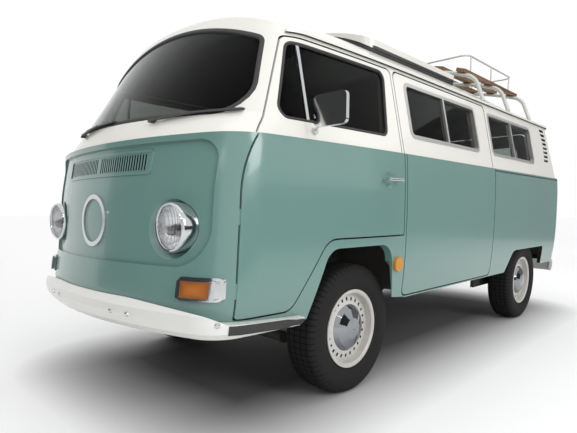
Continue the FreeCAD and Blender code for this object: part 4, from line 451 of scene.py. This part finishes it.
def studio_floor(name, colour):
    """Plain pale paint, with a painted shadow under and round the van."""
    look = Finish(name)
    x, y, _ = look.axes()
    cloud = look.noise(1.5, 3.0)
    tint = look.mixed(cloud, colour, scaled(colour, 0.985))
    half_wide, half_long = 0.45, 1.65
    beside = (abs(x) - half_wide).highest(0.0)
    beyond = (abs(y) - half_long).highest(0.0)
    # Painted shadow: the floor is painted dark under the van, fading out round it
    near = ((beside * beside + beyond * beyond) ** 0.5).under(0.35, 0.7)
    tint = look.mixed(near, tint, (0.12, 0.12, 0.12))
    return look.surface(tint, cloud * 0.05 + 0.75)


MATERIALS = {}


def finish(name, maker, *values, **options):
    """Makes each material once."""
    if name not in MATERIALS:
        MATERIALS[name] = maker(name, *values, **options)
    return MATERIALS[name]


# Mesh helpers
def piece(name, bm, material, body, sharp=35.0):
    """Turns a bmesh into a piece that rides on a CAD body."""
    bmesh.ops.remove_doubles(bm, verts=bm.verts, dist=2e-5)
    bmesh.ops.recalc_face_normals(bm, faces=bm.faces)
    mesh = bpy.data.meshes.new(name)
    bm.to_mesh(mesh)
    bm.free()
    mesh.materials.append(material)
    mesh.shade_smooth()
    mesh.set_sharp_from_angle(angle=math.radians(sharp))
    made = bpy.data.objects.new(name, mesh)
    bpy.context.scene.collection.objects.link(made)
    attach(made, body)
    return made


def paint_node(name, material):
    """Gives a CAD node its material."""
    materials = NODES[name].data.materials
    materials.clear()
    materials.append(material)


def stage_sheet(name, material, matrix):
    """A flat sheet that isn't part of the van, one metre square before its matrix."""
    bm = bmesh.new()
    bmesh.ops.create_grid(bm, x_segments=1, y_segments=1, size=0.5, matrix=matrix)
    mesh = bpy.data.meshes.new(name)
    bm.to_mesh(mesh)
    bm.free()
    mesh.materials.append(material)
    sheet = bpy.data.objects.new(name, mesh)
    bpy.context.scene.collection.objects.link(sheet)
    return sheet


def spun(bm, profile, centre, axis, steps):
    """Turns a profile of (radius, place along the axis) into a closed ring."""
    across = UP if abs(axis.z) < 0.5 else ACROSS
    across = (across - axis * across.dot(axis)).normalized()
    verts = [bm.verts.new(centre + across * radius + axis * place) for radius, place in profile]
    edges = [bm.edges.new(pair) for pair in zip(verts, verts[1:])]
    bmesh.ops.spin(bm, geom=verts + edges, cent=centre, axis=axis, dvec=(0, 0, 0), angle=2 * math.pi,
                   steps=steps, use_merge=True, use_normal_flip=False, use_duplicate=False)


def ring_at(bm, point, along, outward, wide, tall, sides):
    """One oval section of a strip; returns its edges."""
    side = along.cross(outward).normalized()
    out = side.cross(along).normalized()
    matrix = Matrix((side * wide, out * tall, along.normalized())).transposed().to_4x4()
    matrix.translation = point
    made = bmesh.ops.create_circle(bm, cap_ends=False, radius=1.0, segments=sides, matrix=matrix)
    return list({edge for vert in made["verts"] for edge in vert.link_edges})


def strip(bm, path, outward, wide, tall, closed=True, sides=8):
    """A rubber or metal strip of oval section along a path; outward gives its upright at each point."""
    rings = []
    count = len(path)
    for index, point in enumerate(path):
        after = path[(index + 1) % count] if closed or index + 1 < count else point
        before = path[index - 1] if closed or index else point
        rings.append(ring_at(bm, point, (after - before).normalized(), outward[index], wide, tall, sides))
    pairs = list(zip(rings, rings[1:]))
    if closed:
        pairs.append((rings[-1], rings[0]))
    for first, second in pairs:
        bmesh.ops.bridge_loops(bm, edges=first + second)
    if not closed:
        bmesh.ops.holes_fill(bm, edges=rings[0] + rings[-1], sides=sides)


def rounded_path(corners, radii, steps=6):
    """Points round a flat outline whose corners are true arcs, as (across, up) pairs."""
    points = []
    count = len(corners)
    for index in range(count):
        corner = Vector(corners[index])
        before = (Vector(corners[index - 1]) - corner).normalized()
        after = (Vector(corners[(index + 1) % count]) - corner).normalized()
        radius = radii[index]
        if radius <= 0:
            points.append(corner)
            continue
        half = before.angle(after) / 2
        reach = radius / math.tan(half)
        start, end = corner + before * reach, corner + after * reach
        weight = math.sin(half)
        for step in range(steps + 1):
            t = step / steps
            shares = ((1 - t) ** 2, 2 * weight * t * (1 - t), t ** 2)
            points.append((start * shares[0] + corner * shares[1] + end * shares[2]) / sum(shares))
    return points


def spaced(points, longest):
    """The same closed outline with no step longer than a given length."""
    out = []
    for first, second in zip(points, points[1:] + points[:1]):
        count = max(1, math.ceil((second - first).length / longest))
        out.extend(first.lerp(second, step / count) for step in range(count))
    return out


def surface_of(*names):
    """A search tree over CAD nodes, for setting pieces on them."""
    bm = bmesh.new()
    for name in names:
        bm.from_mesh(NODES[name].data)
    tree = BVHTree.FromBMesh(bm)
    bm.free()
    return tree


def landed(tree, start, way):
    """Where a straight line from a start first meets a surface, and the surface's normal there."""
    point, normal, _, _ = tree.ray_cast(start, way)
    if point is None:
        raise RuntimeError("no surface from %s along %s" % (tuple(start), tuple(way)))
    if normal.dot(way) > 0:
        normal.negate()
    return point, normal


def rubber_round(name, outline, tree, start_of, way, body, wide, tall, material, lift=0.0):
    """A rubber strip that follows a window's edge on the glass or skin that it seals."""
    path = []
    outward = []
    for point in spaced(outline, 0.03):
        spot, normal = landed(tree, start_of(point), way)
        path.append(spot + normal * lift)
        outward.append(normal)
    bm = bmesh.new()
    strip(bm, path, outward, wide, tall)
    piece(name, bm, material, body)


def cushion_form(bm, low, high, crown, channels, axis):
    """A crowned pad between two corners: its sides pull in between corners, with sewn channels."""
    low, high = Vector(low), Vector(high)
    size = high - low
    soft, channel_deep, channel_wide, pulled_in = 0.035, 0.009, 0.007, 0.010
    matrix = Matrix.Translation((low + high) / 2) @ Matrix.Diagonal((*size, 1.0))
    made = bmesh.ops.create_cube(bm, size=1.0, matrix=matrix)
    verts = made["verts"]
    edges = list({edge for vert in verts for edge in vert.link_edges})
    made = bmesh.ops.bevel(bm, geom=edges, affect="EDGES", offset=min(soft, min(size) * 0.42), segments=4,
                           profile=0.5, material=-1)
    verts = list({vert for face in made["faces"] for vert in face.verts} | {v for v in verts if v.is_valid})
    island = set(verts)
    edges = [edge for edge in bm.edges if edge.verts[0] in island and edge.calc_length() > 0.05]
    bmesh.ops.subdivide_edges(bm, edges=edges, cuts=13, use_grid_fill=True)
    others = [i for i in range(3) if i != axis]
    for vert in bm.verts:
        share = [(vert.co[i] - low[i]) / size[i] * 2 - 1 for i in range(3)]
        if any(abs(value) > 1.001 for value in share):
            continue
        bulge = (1 - share[others[0]] ** 2) * (1 - share[others[1]] ** 2)
        lift = crown * (bulge - 0.75) * max(share[axis], 0.0)
        for channel in channels:
            gap = abs(share[others[0]] - channel) * size[others[0]] / 2
            lift -= channel_deep * math.exp(-(gap / channel_wide) ** 2) * max(share[axis], 0.0)
        vert.co[axis] += min(lift, 0.0) if share[axis] > 0.999 else lift
        for i in others:
            pull = pulled_in * (1 - share[others[0] if i == others[1] else others[1]] ** 2)
            vert.co[i] -= pull * share[i] * abs(share[i])


# Settings
class PaintSettings(bpy.types.PropertyGroup):
    """Colours of the body's paint and fittings."""

    lower: FloatVectorProperty(name="Lower colour", description="Paint under the belt", subtype="COLOR",
                               default=(0.132, 0.240, 0.217))
    upper: FloatVectorProperty(name="Upper colour", description="Paint over the belt", subtype="COLOR",
                               default=(0.74, 0.73, 0.68))
    bumper: FloatVectorProperty(name="Bumper colour", description="Bumpers and rising roof", subtype="COLOR",
                                default=(0.76, 0.76, 0.73))
    wheel: FloatVectorProperty(name="Wheel colour", description="Wheel enamel", subtype="COLOR",
                               default=(0.58, 0.57, 0.55))
    # Near-black: partly the trim boards' colour, partly painted shade inside the van
    trim: FloatVectorProperty(name="Trim colour", description="Trim boards inside", subtype="COLOR",
                              default=(0.012, 0.010, 0.008))


class RubberSettings(bpy.types.PropertyGroup):
    """Sizes of the window rubbers and the rising roof's seal."""

    screen_wide: FloatProperty(name="Screen rubber", description="Half width of the windscreen's rubber",
                               default=0.013, unit="LENGTH")
    door_wide: FloatProperty(name="Door rubber", description="Half width of the cab windows' rubber",
                             default=0.008, unit="LENGTH")
    proud: FloatProperty(name="Thickness", description="Half thickness of the rubbers", default=0.008,
                         unit="LENGTH")
    seal_tall: FloatProperty(name="Roof seal", description="Height of the rising roof's seal", default=0.022,
                             unit="LENGTH")


class TyreSettings(bpy.types.PropertyGroup):
    """Sizes of the tyres' tread."""

    steps: IntProperty(name="Steps", description="Steps round a tyre", default=96, min=24)
    groove: FloatProperty(name="Groove depth", description="Depth of the tread's grooves", default=0.007,
                          unit="LENGTH")
    groove_wide: FloatProperty(name="Groove width", description="Width of the tread's grooves", default=0.006,
                               unit="LENGTH")


class CushionSettings(bpy.types.PropertyGroup):
    """Softness and colours of the cushions."""

    crown: FloatProperty(name="Crown", description="How far a pad's top rises in its middle", default=0.02,
                         unit="LENGTH")
    cloth: FloatVectorProperty(name="Cloth", description="Main colour of the cloth", subtype="COLOR",
                               default=(0.045, 0.034, 0.024))
    accent: FloatVectorProperty(name="Check", description="Second colour of the cloth", subtype="COLOR",
                                default=(0.10, 0.072, 0.045))


class StageSettings(bpy.types.PropertyGroup):
    """Camera and light."""

    lens: FloatProperty(name="Lens", description="Focal length on a 36 mm wide sensor", default=29.814)
    yaw: FloatProperty(name="Heading", description="Turn from straight ahead to the left",
                       default=math.radians(44.867), subtype="ANGLE")
    pitch: FloatProperty(name="Pitch", description="Tilt over the horizon", default=math.radians(-5.124),
                         subtype="ANGLE")
    roll: FloatProperty(name="Roll", description="Turn about the view", default=math.radians(0.236),
                        subtype="ANGLE")
    place: FloatVectorProperty(name="Place", description="Where the camera stands", subtype="TRANSLATION",
                               default=(2.1372, -3.1029, 0.9101))


class VanSettings(bpy.types.PropertyGroup):
    """All settings of the van's finish."""

    paint: PointerProperty(type=PaintSettings)
    rubber: PointerProperty(type=RubberSettings)
    tyre: PointerProperty(type=TyreSettings)
    cushion: PointerProperty(type=CushionSettings)
    stage: PointerProperty(type=StageSettings)


def settings():
    return bpy.context.scene.van_finish


# Operators
class PaintBody(bpy.types.Operator):
    """Paint the body, doors, lids, bumpers, grille and rising roof"""

    bl_idname = "van.paint_body"
    bl_label = "Paint the body"

    def execute(self, context):
        paint = settings().paint
        colours = [tuple(colour) for colour in (paint.lower, paint.upper, paint.trim)]
        coach = finish("coach_enamel", coach_paint, *colours)
        for name in ("rear_panel", "roof_panel", "cab_door_left", "cab_door_right", "sliding_door",
                     "tailgate", "engine_lid"):
            paint_node(name, coach)
        for name, shade in (("nose_panel", pocket_shade), ("fresh_air_grille", slot_shade),
                            ("side_panel_left", vent_shade), ("side_panel_right", vent_shade)):
            paint_node(name, finish("enamel_of_" + name, coach_paint, *colours, shade))
        # The rising roof's black lower band is partly seal, partly painted shade in the gap under it
        paint_node("rising_roof", finish("roof_shell", white_enamel, colours[1], worn=0.05, edge=1.830))
        bumper = finish("bumper_enamel", white_enamel, tuple(paint.bumper), worn=0.12, seam=0.822)
        for name in ("front_bumper", "rear_bumper"):
            paint_node(name, bumper)
        paint_node("nose_ring", finish("chrome", chrome_plate))
        return {"FINISHED"}


class FitFittings(bpy.types.Operator):
    """Finish the glass, lamps, mirrors, handles, window frames, cab, rack, floor and axles"""

    bl_idname = "van.fit_fittings"
    bl_label = "Finish the fittings"

    def execute(self, context):
        signal = ((0.684, 0.608), (0.0550, 0.0310), (0.46, 0.150, 0.022))
        tail = ((0.735, 0.850), (0.0325, 0.0855), (0.36, 0.016, 0.012))
        looks = (
            (finish("window_glass", window_glass), ("body_glass", "tailgate_glass")),
            # The cab door glass is a darker copy of the window glass: painted shade of the cab's dark inside
            (finish("door_glass", window_glass, (0.20, 0.21, 0.20)),
             ("cab_door_glass_left", "cab_door_glass_right")),
            (finish("chrome", chrome_plate), ("cab_door_fittings_left", "cab_door_fittings_right")),
            (finish("aluminium", brushed_metal, (0.70, 0.70, 0.68)), ("side_window_frames",)),
            (finish("signal_lens", lens_and_rim, *signal, side_lens=True), ("turn_signals",)),
            (finish("tail_lens", lens_and_rim, *tail), ("tail_lamps",)),
            (finish("wiper_black", black_rubber, (0.018, 0.018, 0.019), rough=0.4), ("wipers",)),
            (finish("dash_black", moulded_plastic, (0.03, 0.03, 0.03)), ("dashboard", "steering_wheel")),
            (finish("cabinet_wood", oiled_wood, *CABINET_WOOD), ("cabinet",)),
            (finish("chassis_paint", chassis_paint, (0.022, 0.022, 0.022)),
             ("floor_pan", "front_axle", "rear_axle", "knuckle_left", "knuckle_right")),
            (finish("engine_casting", brushed_metal, (0.20, 0.20, 0.20), rough=0.5), ("engine_block",)),
            (finish("rack_tube", brushed_metal, (0.60, 0.62, 0.58), rough=0.4, metallic=0.4),
             ("rack_frame",)),
            (finish("slat_wood", oiled_wood, (0.10, 0.044, 0.022), (0.25, 0.135, 0.075)), ("rack_slats",)))
        for look, names in looks:
            for name in names:
                paint_node(name, look)
        return {"FINISHED"}


class FitRubbers(bpy.types.Operator):
    """Lay the rubbers round the windscreen, cab windows and tailgate window, and the roof's seal, which also
    stands for the shadow gap under the rising roof
    """

    bl_idname = "van.fit_rubbers"
    bl_label = "Fit the rubbers"

    def execute(self, context):
        rubber = settings().rubber
        black = finish("seal_rubber", black_rubber)
        self.windscreen(rubber, black)
        self.cab_windows(rubber, black)
        self.tailgate_window(rubber, black)
        self.roof_seal_and_shadow_gap(rubber, black)
        return {"FINISHED"}

    def windscreen(self, rubber, black):
        """The rubber round the windscreen, whose top is one wide arc."""
        inset, low_corner, high_corner, steps = 0.005, 0.1, 0.05, 24
        wide, low = 0.728 - inset, 1.284 + inset
        half, shoulder = 0.640 - inset, 1.630 - inset / 2
        top = 1.760 - inset
        radius = (half ** 2 + (top - shoulder) ** 2) / (2 * (top - shoulder))
        limit = math.asin(half / radius)
        arch = []
        for step in range(1, steps):
            turn = limit * (1 - 2 * step / steps)
            arch.append((radius * math.sin(turn), top - radius * (1 - math.cos(turn))))
        corners = [(-wide, low), (wide, low), (half, shoulder)] + arch + [(-half, shoulder)]
        radii = [low_corner, low_corner, high_corner] + [0] * len(arch) + [high_corner]
        rubber_round("screen_rubber", rounded_path(corners, radii), surface_of("body_glass"),
                     lambda p: Vector((p.x, -BEYOND, p.y)), ALONG, "van_body",
                     rubber.screen_wide, rubber.proud, black)

    def cab_windows(self, rubber, black):
        """The rubbers round the cab windows, whose upright edges lean."""
        outset, corner, rear_lean, front_lean, lift = 0.003, 0.041, 0.053, 0.125, -0.005
        front, rear = -1.723 - outset, -0.976 + outset
        low, high = 1.282 - outset, 1.608 + outset
        corners = [(front, low), (rear, low), (rear + rear_lean, high), (front + front_lean, high)]
        outline = rounded_path(corners, [corner] * 4)
        for side, sign in SIDES:
            rubber_round("cab_window_rubber_" + side, outline, surface_of("cab_door_" + side),
                         lambda p: Vector((sign * BESIDE, p.x, p.y)), ACROSS * -sign,
                         side + "_cab_door", rubber.door_wide, rubber.proud, black, lift)

    def tailgate_window(self, rubber, black):
        """The rubber round the tailgate's window, a margin inside the gate's outline."""
        margin, corner, lift = 0.092 + 0.005, 0.075, 0.003
        low, high = 1.140 + margin, 1.641 - margin
        wide, narrow = 0.590 - margin, 0.545 - margin
        corners = [(-wide, low), (wide, low), (narrow, high), (-narrow, high)]
        rubber_round("tailgate_rubber", rounded_path(corners, [corner] * 4), surface_of("tailgate_glass"),
                     lambda p: Vector((p.x, BEYOND, p.y)), -ALONG, "rear_gate",
                     rubber.screen_wide, rubber.proud, black, lift)

    def roof_seal_and_shadow_gap(self, rubber, black):
        """The dark band between the rising roof and the fixed one: a black strip, partly the seal and partly
        painted shade of the gap under the roof.
        """
        corner, steps, inset, longest, lift, half_thick = 0.0645, 8, 0.0085, 0.04, 0.001, 0.006
        front, rear, half = -0.781 + inset, 0.331 - inset, 0.575 - inset
        corners = [(-half, front), (half, front), (half, rear), (-half, rear)]
        roof = surface_of("roof_panel")
        path = []
        outward = []
        outline = spaced(rounded_path(corners, [corner] * 4, steps), longest)
        count = len(outline)
        for index, point in enumerate(outline):
            spot, _ = landed(roof, Vector((point.x, point.y, BEYOND)), -UP)
            way = outline[(index + 1) % count] - outline[index - 1]
            path.append(spot + UP * (rubber.seal_tall / 2 + lift))
            outward.append(Vector((way.y, -way.x, 0)).normalized())
        bm = bmesh.new()
        strip(bm, path, outward, rubber.seal_tall / 2, half_thick)
        piece("roof_seal_and_shadow_gap", bm, black, "raised_roof")


class BuildTyres(bpy.types.Operator):
    """Build the four grooved tyres and finish the wheels"""

    bl_idname = "van.build_tyres"
    bl_label = "Build the tyres"

    def execute(self, context):
        tyre = settings().tyre
        paint = settings().paint
        deep = tyre.groove
        gap = tyre.groove_wide / 2
        crown_radius, crown_fall = 0.3222, 0.03
        tread = []
        for groove in (0.051, 0.018):
            crest = crown_radius - groove * crown_fall
            tread += [(crest, groove + gap), (crest - deep, groove + gap * 0.5),
                      (crest - deep, groove - gap * 0.5), (crest, groove - gap)]
        wall = [(0.1838, 0.066), (0.192, 0.0725), (0.198, 0.073), (0.218, 0.0835), (0.222, 0.0865),
                (0.240, 0.0905), (0.262, 0.0918), (0.284, 0.0895), (0.288, 0.0878), (0.303, 0.0825),
                (0.3135, 0.0745), (0.3185, 0.066)]
        outer = wall + tread
        profile = outer + [(radius, -place) for radius, place in reversed(outer)]
        inner = [(0.190, 0.060), (0.225, 0.077), (0.262, 0.081), (0.296, 0.074), (0.306, 0.055)]
        profile += [(radius, -place) for radius, place in inner] + list(reversed(inner))
        profile.append(profile[0])
        # A darker copy of the chrome for the caps: painted reflection of dark surroundings
        cap_chrome_shaded = (0.30, 0.31, 0.33)
        for place, axle, disc in (("front", FRONT_AXLE, 0.727), ("rear", REAR_AXLE, 0.748)):
            rubber = finish("tyre_" + place, tyre_rubber, axle)
            enamel = finish("wheel_" + place, wheel_enamel, tuple(paint.wheel), cap_chrome_shaded, axle, disc)
            for side, _ in SIDES:
                node = "tyre_%s_%s" % (place, side)
                low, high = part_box(node)
                bm = bmesh.new()
                spun(bm, profile, (low + high) / 2, ACROSS, tyre.steps)
                made = piece("grooved_" + node, bm, rubber, "%s_%s_wheel" % (place, side), 50.0)
                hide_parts(node)
                paint_node("wheel_%s_%s" % (place, side), enamel)
        return {"FINISHED"}


class BuildLamps(bpy.types.Operator):
    """Build the headlights: chrome rims, fluted glasses and mirrored bowls"""

    bl_idname = "van.build_lamps"
    bl_label = "Build the headlights"

    def execute(self, context):
        chrome = finish("chrome", chrome_plate)
        mirror = finish("lamp_mirror", chrome_plate, (0.86, 0.87, 0.88), rough=0.03)
        glass = finish("lamp_glass", lamp_glass)
        dark = finish("seal_rubber", black_rubber)
        lamp_across, lamp_high, set_back, thick = 0.553, 0.838, 0.014, 0.003
        dome_radius, dome_rise, dome_steps = 0.084, 0.0125, 10
        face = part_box("headlights")[0].y + set_back
        rim = [(0.0845, 0.004), (0.0845, -0.004), (0.0875, -0.0085), (0.0925, -0.0095), (0.0968, -0.006),
               (0.0995, 0.002), (0.1000, 0.012), (0.0985, 0.0655), (0.093, 0.0655), (0.0900, 0.010),
               (0.0845, 0.004)]
        dome = []
        for step in range(dome_steps + 1):
            turn = math.pi / 2 * step / dome_steps
            dome.append((dome_radius * math.sin(turn), -dome_rise * math.cos(turn) - 0.001))
        bowl = [(0.083, 0.003), (0.072, 0.022), (0.055, 0.038), (0.034, 0.048), (0.014, 0.052), (0.0, 0.052)]
        cup = [(0.0, 0.020), (0.010, 0.022), (0.013, 0.030), (0.013, 0.050), (0.0, 0.050)]
        dome_back, bowl_back = ([(radius, place + thick) for radius, place in reversed(front)]
                                for front in (dome, bowl))
        rims, glasses, bowls, cups = (bmesh.new() for _ in range(4))
        for _, sign in SIDES:
            centre = Vector((sign * lamp_across, face, lamp_high))
            spun(rims, rim, centre, ALONG, 64)
            spun(glasses, dome + dome_back, centre, ALONG, 64)
            spun(bowls, bowl + bowl_back + [bowl[0]], centre, ALONG, 48)
            spun(cups, cup, centre, ALONG, 24)
        made = piece("headlight_rims", rims, chrome, "van_body", 40.0)
        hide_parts("headlights")
        piece("headlight_glasses", glasses, glass, "van_body", 60.0)
        piece("headlight_bowls", bowls, mirror, "van_body", 60.0)
        piece("headlight_bulbs", cups, dark, "van_body", 40.0)
        return {"FINISHED"}


class BuildTrim(bpy.types.Operator):
    """Build the front bumper's pads and bolts"""

    bl_idname = "van.build_trim"
    bl_label = "Build the trim"

    def execute(self, context):
        black = finish("seal_rubber", black_rubber)
        chrome = finish("chrome", chrome_plate)
        bumper = surface_of("front_bumper")
        pads = bmesh.new()
        bolts = bmesh.new()
        pad_front, pad_long, pad_high, pad_fall = -2.000, 0.368, 0.4635, 0.018
        pad_half, pad_thick, pad_steps, bolt_high = 0.0195, 0.006, 8, 0.486
        bolt_head = [(0.0, 0.006), (0.006, 0.0055), (0.010, 0.003), (0.0115, -0.001), (0.0, -0.001)]
        for _, sign in SIDES:
            path = []
            outward = []
            for step in range(pad_steps + 1):
                share = step / pad_steps
                start = Vector((sign * BESIDE, pad_front + pad_long * share, pad_high - pad_fall * share))
                spot, normal = landed(bumper, start, ACROSS * -sign)
                path.append(spot + normal * 0.001)
                outward.append(normal)
            strip(pads, path, outward, pad_half, pad_thick, closed=False, sides=10)
            for x in (0.27, 0.38, 0.79):
                spot, normal = landed(bumper, Vector((sign * x, -BEYOND, bolt_high)), ALONG)
                spun(bolts, bolt_head, spot, normal, 16)
        piece("bumper_pads", pads, black, "van_body")
        piece("bumper_bolts", bolts, chrome, "van_body")
        return {"FINISHED"}


class BuildCushions(bpy.types.Operator):
    """Build the front seats, the rear bench and its bed as padded cushions"""

    bl_idname = "van.build_cushions"
    bl_label = "Build the cushions"

    def execute(self, context):
        look = settings().cushion
        cloth = finish("seat_cloth", woven_cloth, tuple(look.cloth), tuple(look.accent))
        wood = finish("cabinet_wood", oiled_wood, *CABINET_WOOD)
        low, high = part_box("front_seats")
        seat_top, back_front = low.z + 0.14, high.y - 0.11
        seat_near, seat_far, gap = 0.190, 0.670, 0.002
        for side, sign in SIDES:
            near, far = sorted((sign * seat_near, sign * seat_far))
            self.cushions({
                "seat_cushion_" + side: ((near, low.y, low.z), (far, back_front - gap, seat_top), 2),
                "seat_back_" + side: ((near, back_front, low.z), (far, high.y, high.z), 1)},
                (-0.5, 0.0, 0.5), cloth, "front_seats")
        low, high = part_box("rear_bench")
        box_top, box_middle, box_long = 0.846, 0.640, 0.420
        base = bmesh.new()
        matrix = Matrix.Translation((0, box_middle, (low.z + box_top) / 2)) @ Matrix.Diagonal(
            (high.x - low.x, box_long, box_top - low.z, 1.0))
        bmesh.ops.create_cube(base, size=1.0, matrix=matrix)
        bmesh.ops.bevel(base, geom=list(base.edges), affect="EDGES", offset=0.006, segments=2,
                        profile=0.5, material=-1)
        made = piece("bench_box", base, wood, "van_body")
        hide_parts("rear_bench")
        self.cushions({
            "bench_cushion": ((low.x, 0.430, 0.848), (high.x, 0.768, 0.956), 2),
            "bench_back": ((low.x, 0.770, 0.752), (high.x, 0.8485, high.z), 1),
            "bed_cushion": ((low.x, 0.851, 0.9875), (high.x, high.y, high.z), 2)},
            (-0.33, 0.33), cloth, "rear_bench")
        return {"FINISHED"}

    def cushions(self, pads, channels, cloth, node):
        """Pads that stand for a CAD node, each given as two corners and the axis that it faces along."""
        for name, (start, end, axis) in pads.items():
            bm = bmesh.new()
            cushion_form(bm, start, end, settings().cushion.crown, channels, axis)
            made = piece(name, bm, cloth, "van_body", 60.0)
            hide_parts(node)


class SetStage(bpy.types.Operator):
    """Set the camera, the pale floor with its painted shadow, and soft studio light"""

    bl_idname = "van.set_stage"
    bl_label = "Set the stage"

    def execute(self, context):
        stage = settings().stage
        scene = context.scene
        camera = bpy.data.cameras.new("camera")
        camera.sensor_width = 36.0
        camera.sensor_fit = "HORIZONTAL"
        camera.lens = stage.lens
        camera.shift_x = (PICTURE[0] / 2 - OPTICAL_CENTRE[0]) / PICTURE[0]
        camera.shift_y = (OPTICAL_CENTRE[1] - PICTURE[1] / 2) / PICTURE[0]
        viewer = bpy.data.objects.new("camera", camera)
        turn = Matrix.Rotation(stage.yaw, 4, "Z") @ Matrix.Rotation(math.pi / 2 + stage.pitch, 4, "X")
        turn = turn @ Matrix.Rotation(stage.roll, 4, "Z")
        viewer.matrix_world = Matrix.Translation(stage.place) @ turn
        scene.collection.objects.link(viewer)
        scene.camera = viewer
        # The floor's paint holds a painted shadow under the van
        floor_paint = finish("floor_paint", studio_floor, (0.97, 0.97, 0.97))
        stage_sheet("floor", floor_paint, Matrix.Diagonal((120.0, 120.0, 1.0, 1.0)))
        scene.view_settings.view_transform = "Standard"
        self.cards()
        world = bpy.data.worlds.new("studio")
        scene.world = world
        world.use_nodes = True
        background = world.node_tree.nodes["Background"]
        background.inputs["Color"].default_value = (1.0, 1.0, 1.0, 1.0)
        background.inputs["Strength"].default_value = 1.0
        aim = Vector((0, 0, 0.9))
        for name, place, size, power in (
                ("key", (7.5, -1.5, 4.0), 3.0, 190.0), ("top", (0.5, 0.0, 7.0), 5.0, 50.0),
                ("glint_low", (2.6, -6.5, 3.6), 0.25, 14.0), ("glint_high", (3.8, -5.5, 4.4), 0.3, 16.0),
                ("glint_left", (1.4, -7.0, 4.6), 0.25, 14.0)):
            light = bpy.data.lights.new(name, "AREA")
            light.size = size
            light.energy = power
            lamp = bpy.data.objects.new(name, light)
            lamp.location = place
            lamp.rotation_euler = (aim - Vector(place)).to_track_quat("-Z", "Y").to_euler()
            scene.collection.objects.link(lamp)
        return {"FINISHED"}

    def cards(self):
        """Cards that the camera doesn't see: they shade the paint and give the chrome something to mirror."""
        for name, place, across, tall, turn, grey in (
                ("front_card", (-3.0, -8.5, 2.6), 14.0, 5.0, 0.0, 0.035),
                ("side_card", (5.2, 1.5, 0.75), 9.0, 1.3, 90.0, 0.035),
                ("rear_card", (4.8, 9.0, 2.5), 7.0, 5.0, 0.0, 0.25)):
            matrix = Matrix.Translation(place) @ Matrix.Rotation(math.radians(turn), 4, "Z")
            matrix = matrix @ Matrix.Rotation(math.pi / 2, 4, "X") @ Matrix.Diagonal((across, tall, 1.0, 1.0))
            cloth = finish("cloth_of_" + name, black_rubber, (grey, grey, grey), rough=0.9)
            stage_sheet(name, cloth, matrix).visible_camera = False


class VanPanel(bpy.types.Panel):
    """The van's finishing steps"""

    bl_idname = "VIEW3D_PT_van_finish"
    bl_label = "Van finish"
    bl_space_type = "VIEW_3D"
    bl_region_type = "UI"
    bl_category = "Van"

    def draw(self, context):
        for step in OPERATORS:
            self.layout.operator(step.bl_idname)
        for group in ("paint", "rubber", "tyre", "cushion", "stage"):
            box = self.layout.box()
            values = getattr(context.scene.van_finish, group)
            for name in values.__annotations__:
                box.prop(values, name)


GROUPS = (PaintSettings, RubberSettings, TyreSettings, CushionSettings, StageSettings, VanSettings)
OPERATORS = (PaintBody, FitFittings, FitRubbers, BuildTyres, BuildLamps, BuildTrim, BuildCushions, SetStage)
CLASSES = GROUPS + OPERATORS + (VanPanel,)


def register():
    for made in CLASSES:
        bpy.utils.register_class(made)
    bpy.types.Scene.van_finish = PointerProperty(type=VanSettings)


def unregister():
    del bpy.types.Scene.van_finish
    for made in reversed(CLASSES):
        bpy.utils.unregister_class(made)


def main():
    """Runs every step in order."""
    register()
    for step in OPERATORS:
        group, name = step.bl_idname.split(".")
        getattr(getattr(bpy.ops, group), name)()


if __name__ == "__main__":
    main()
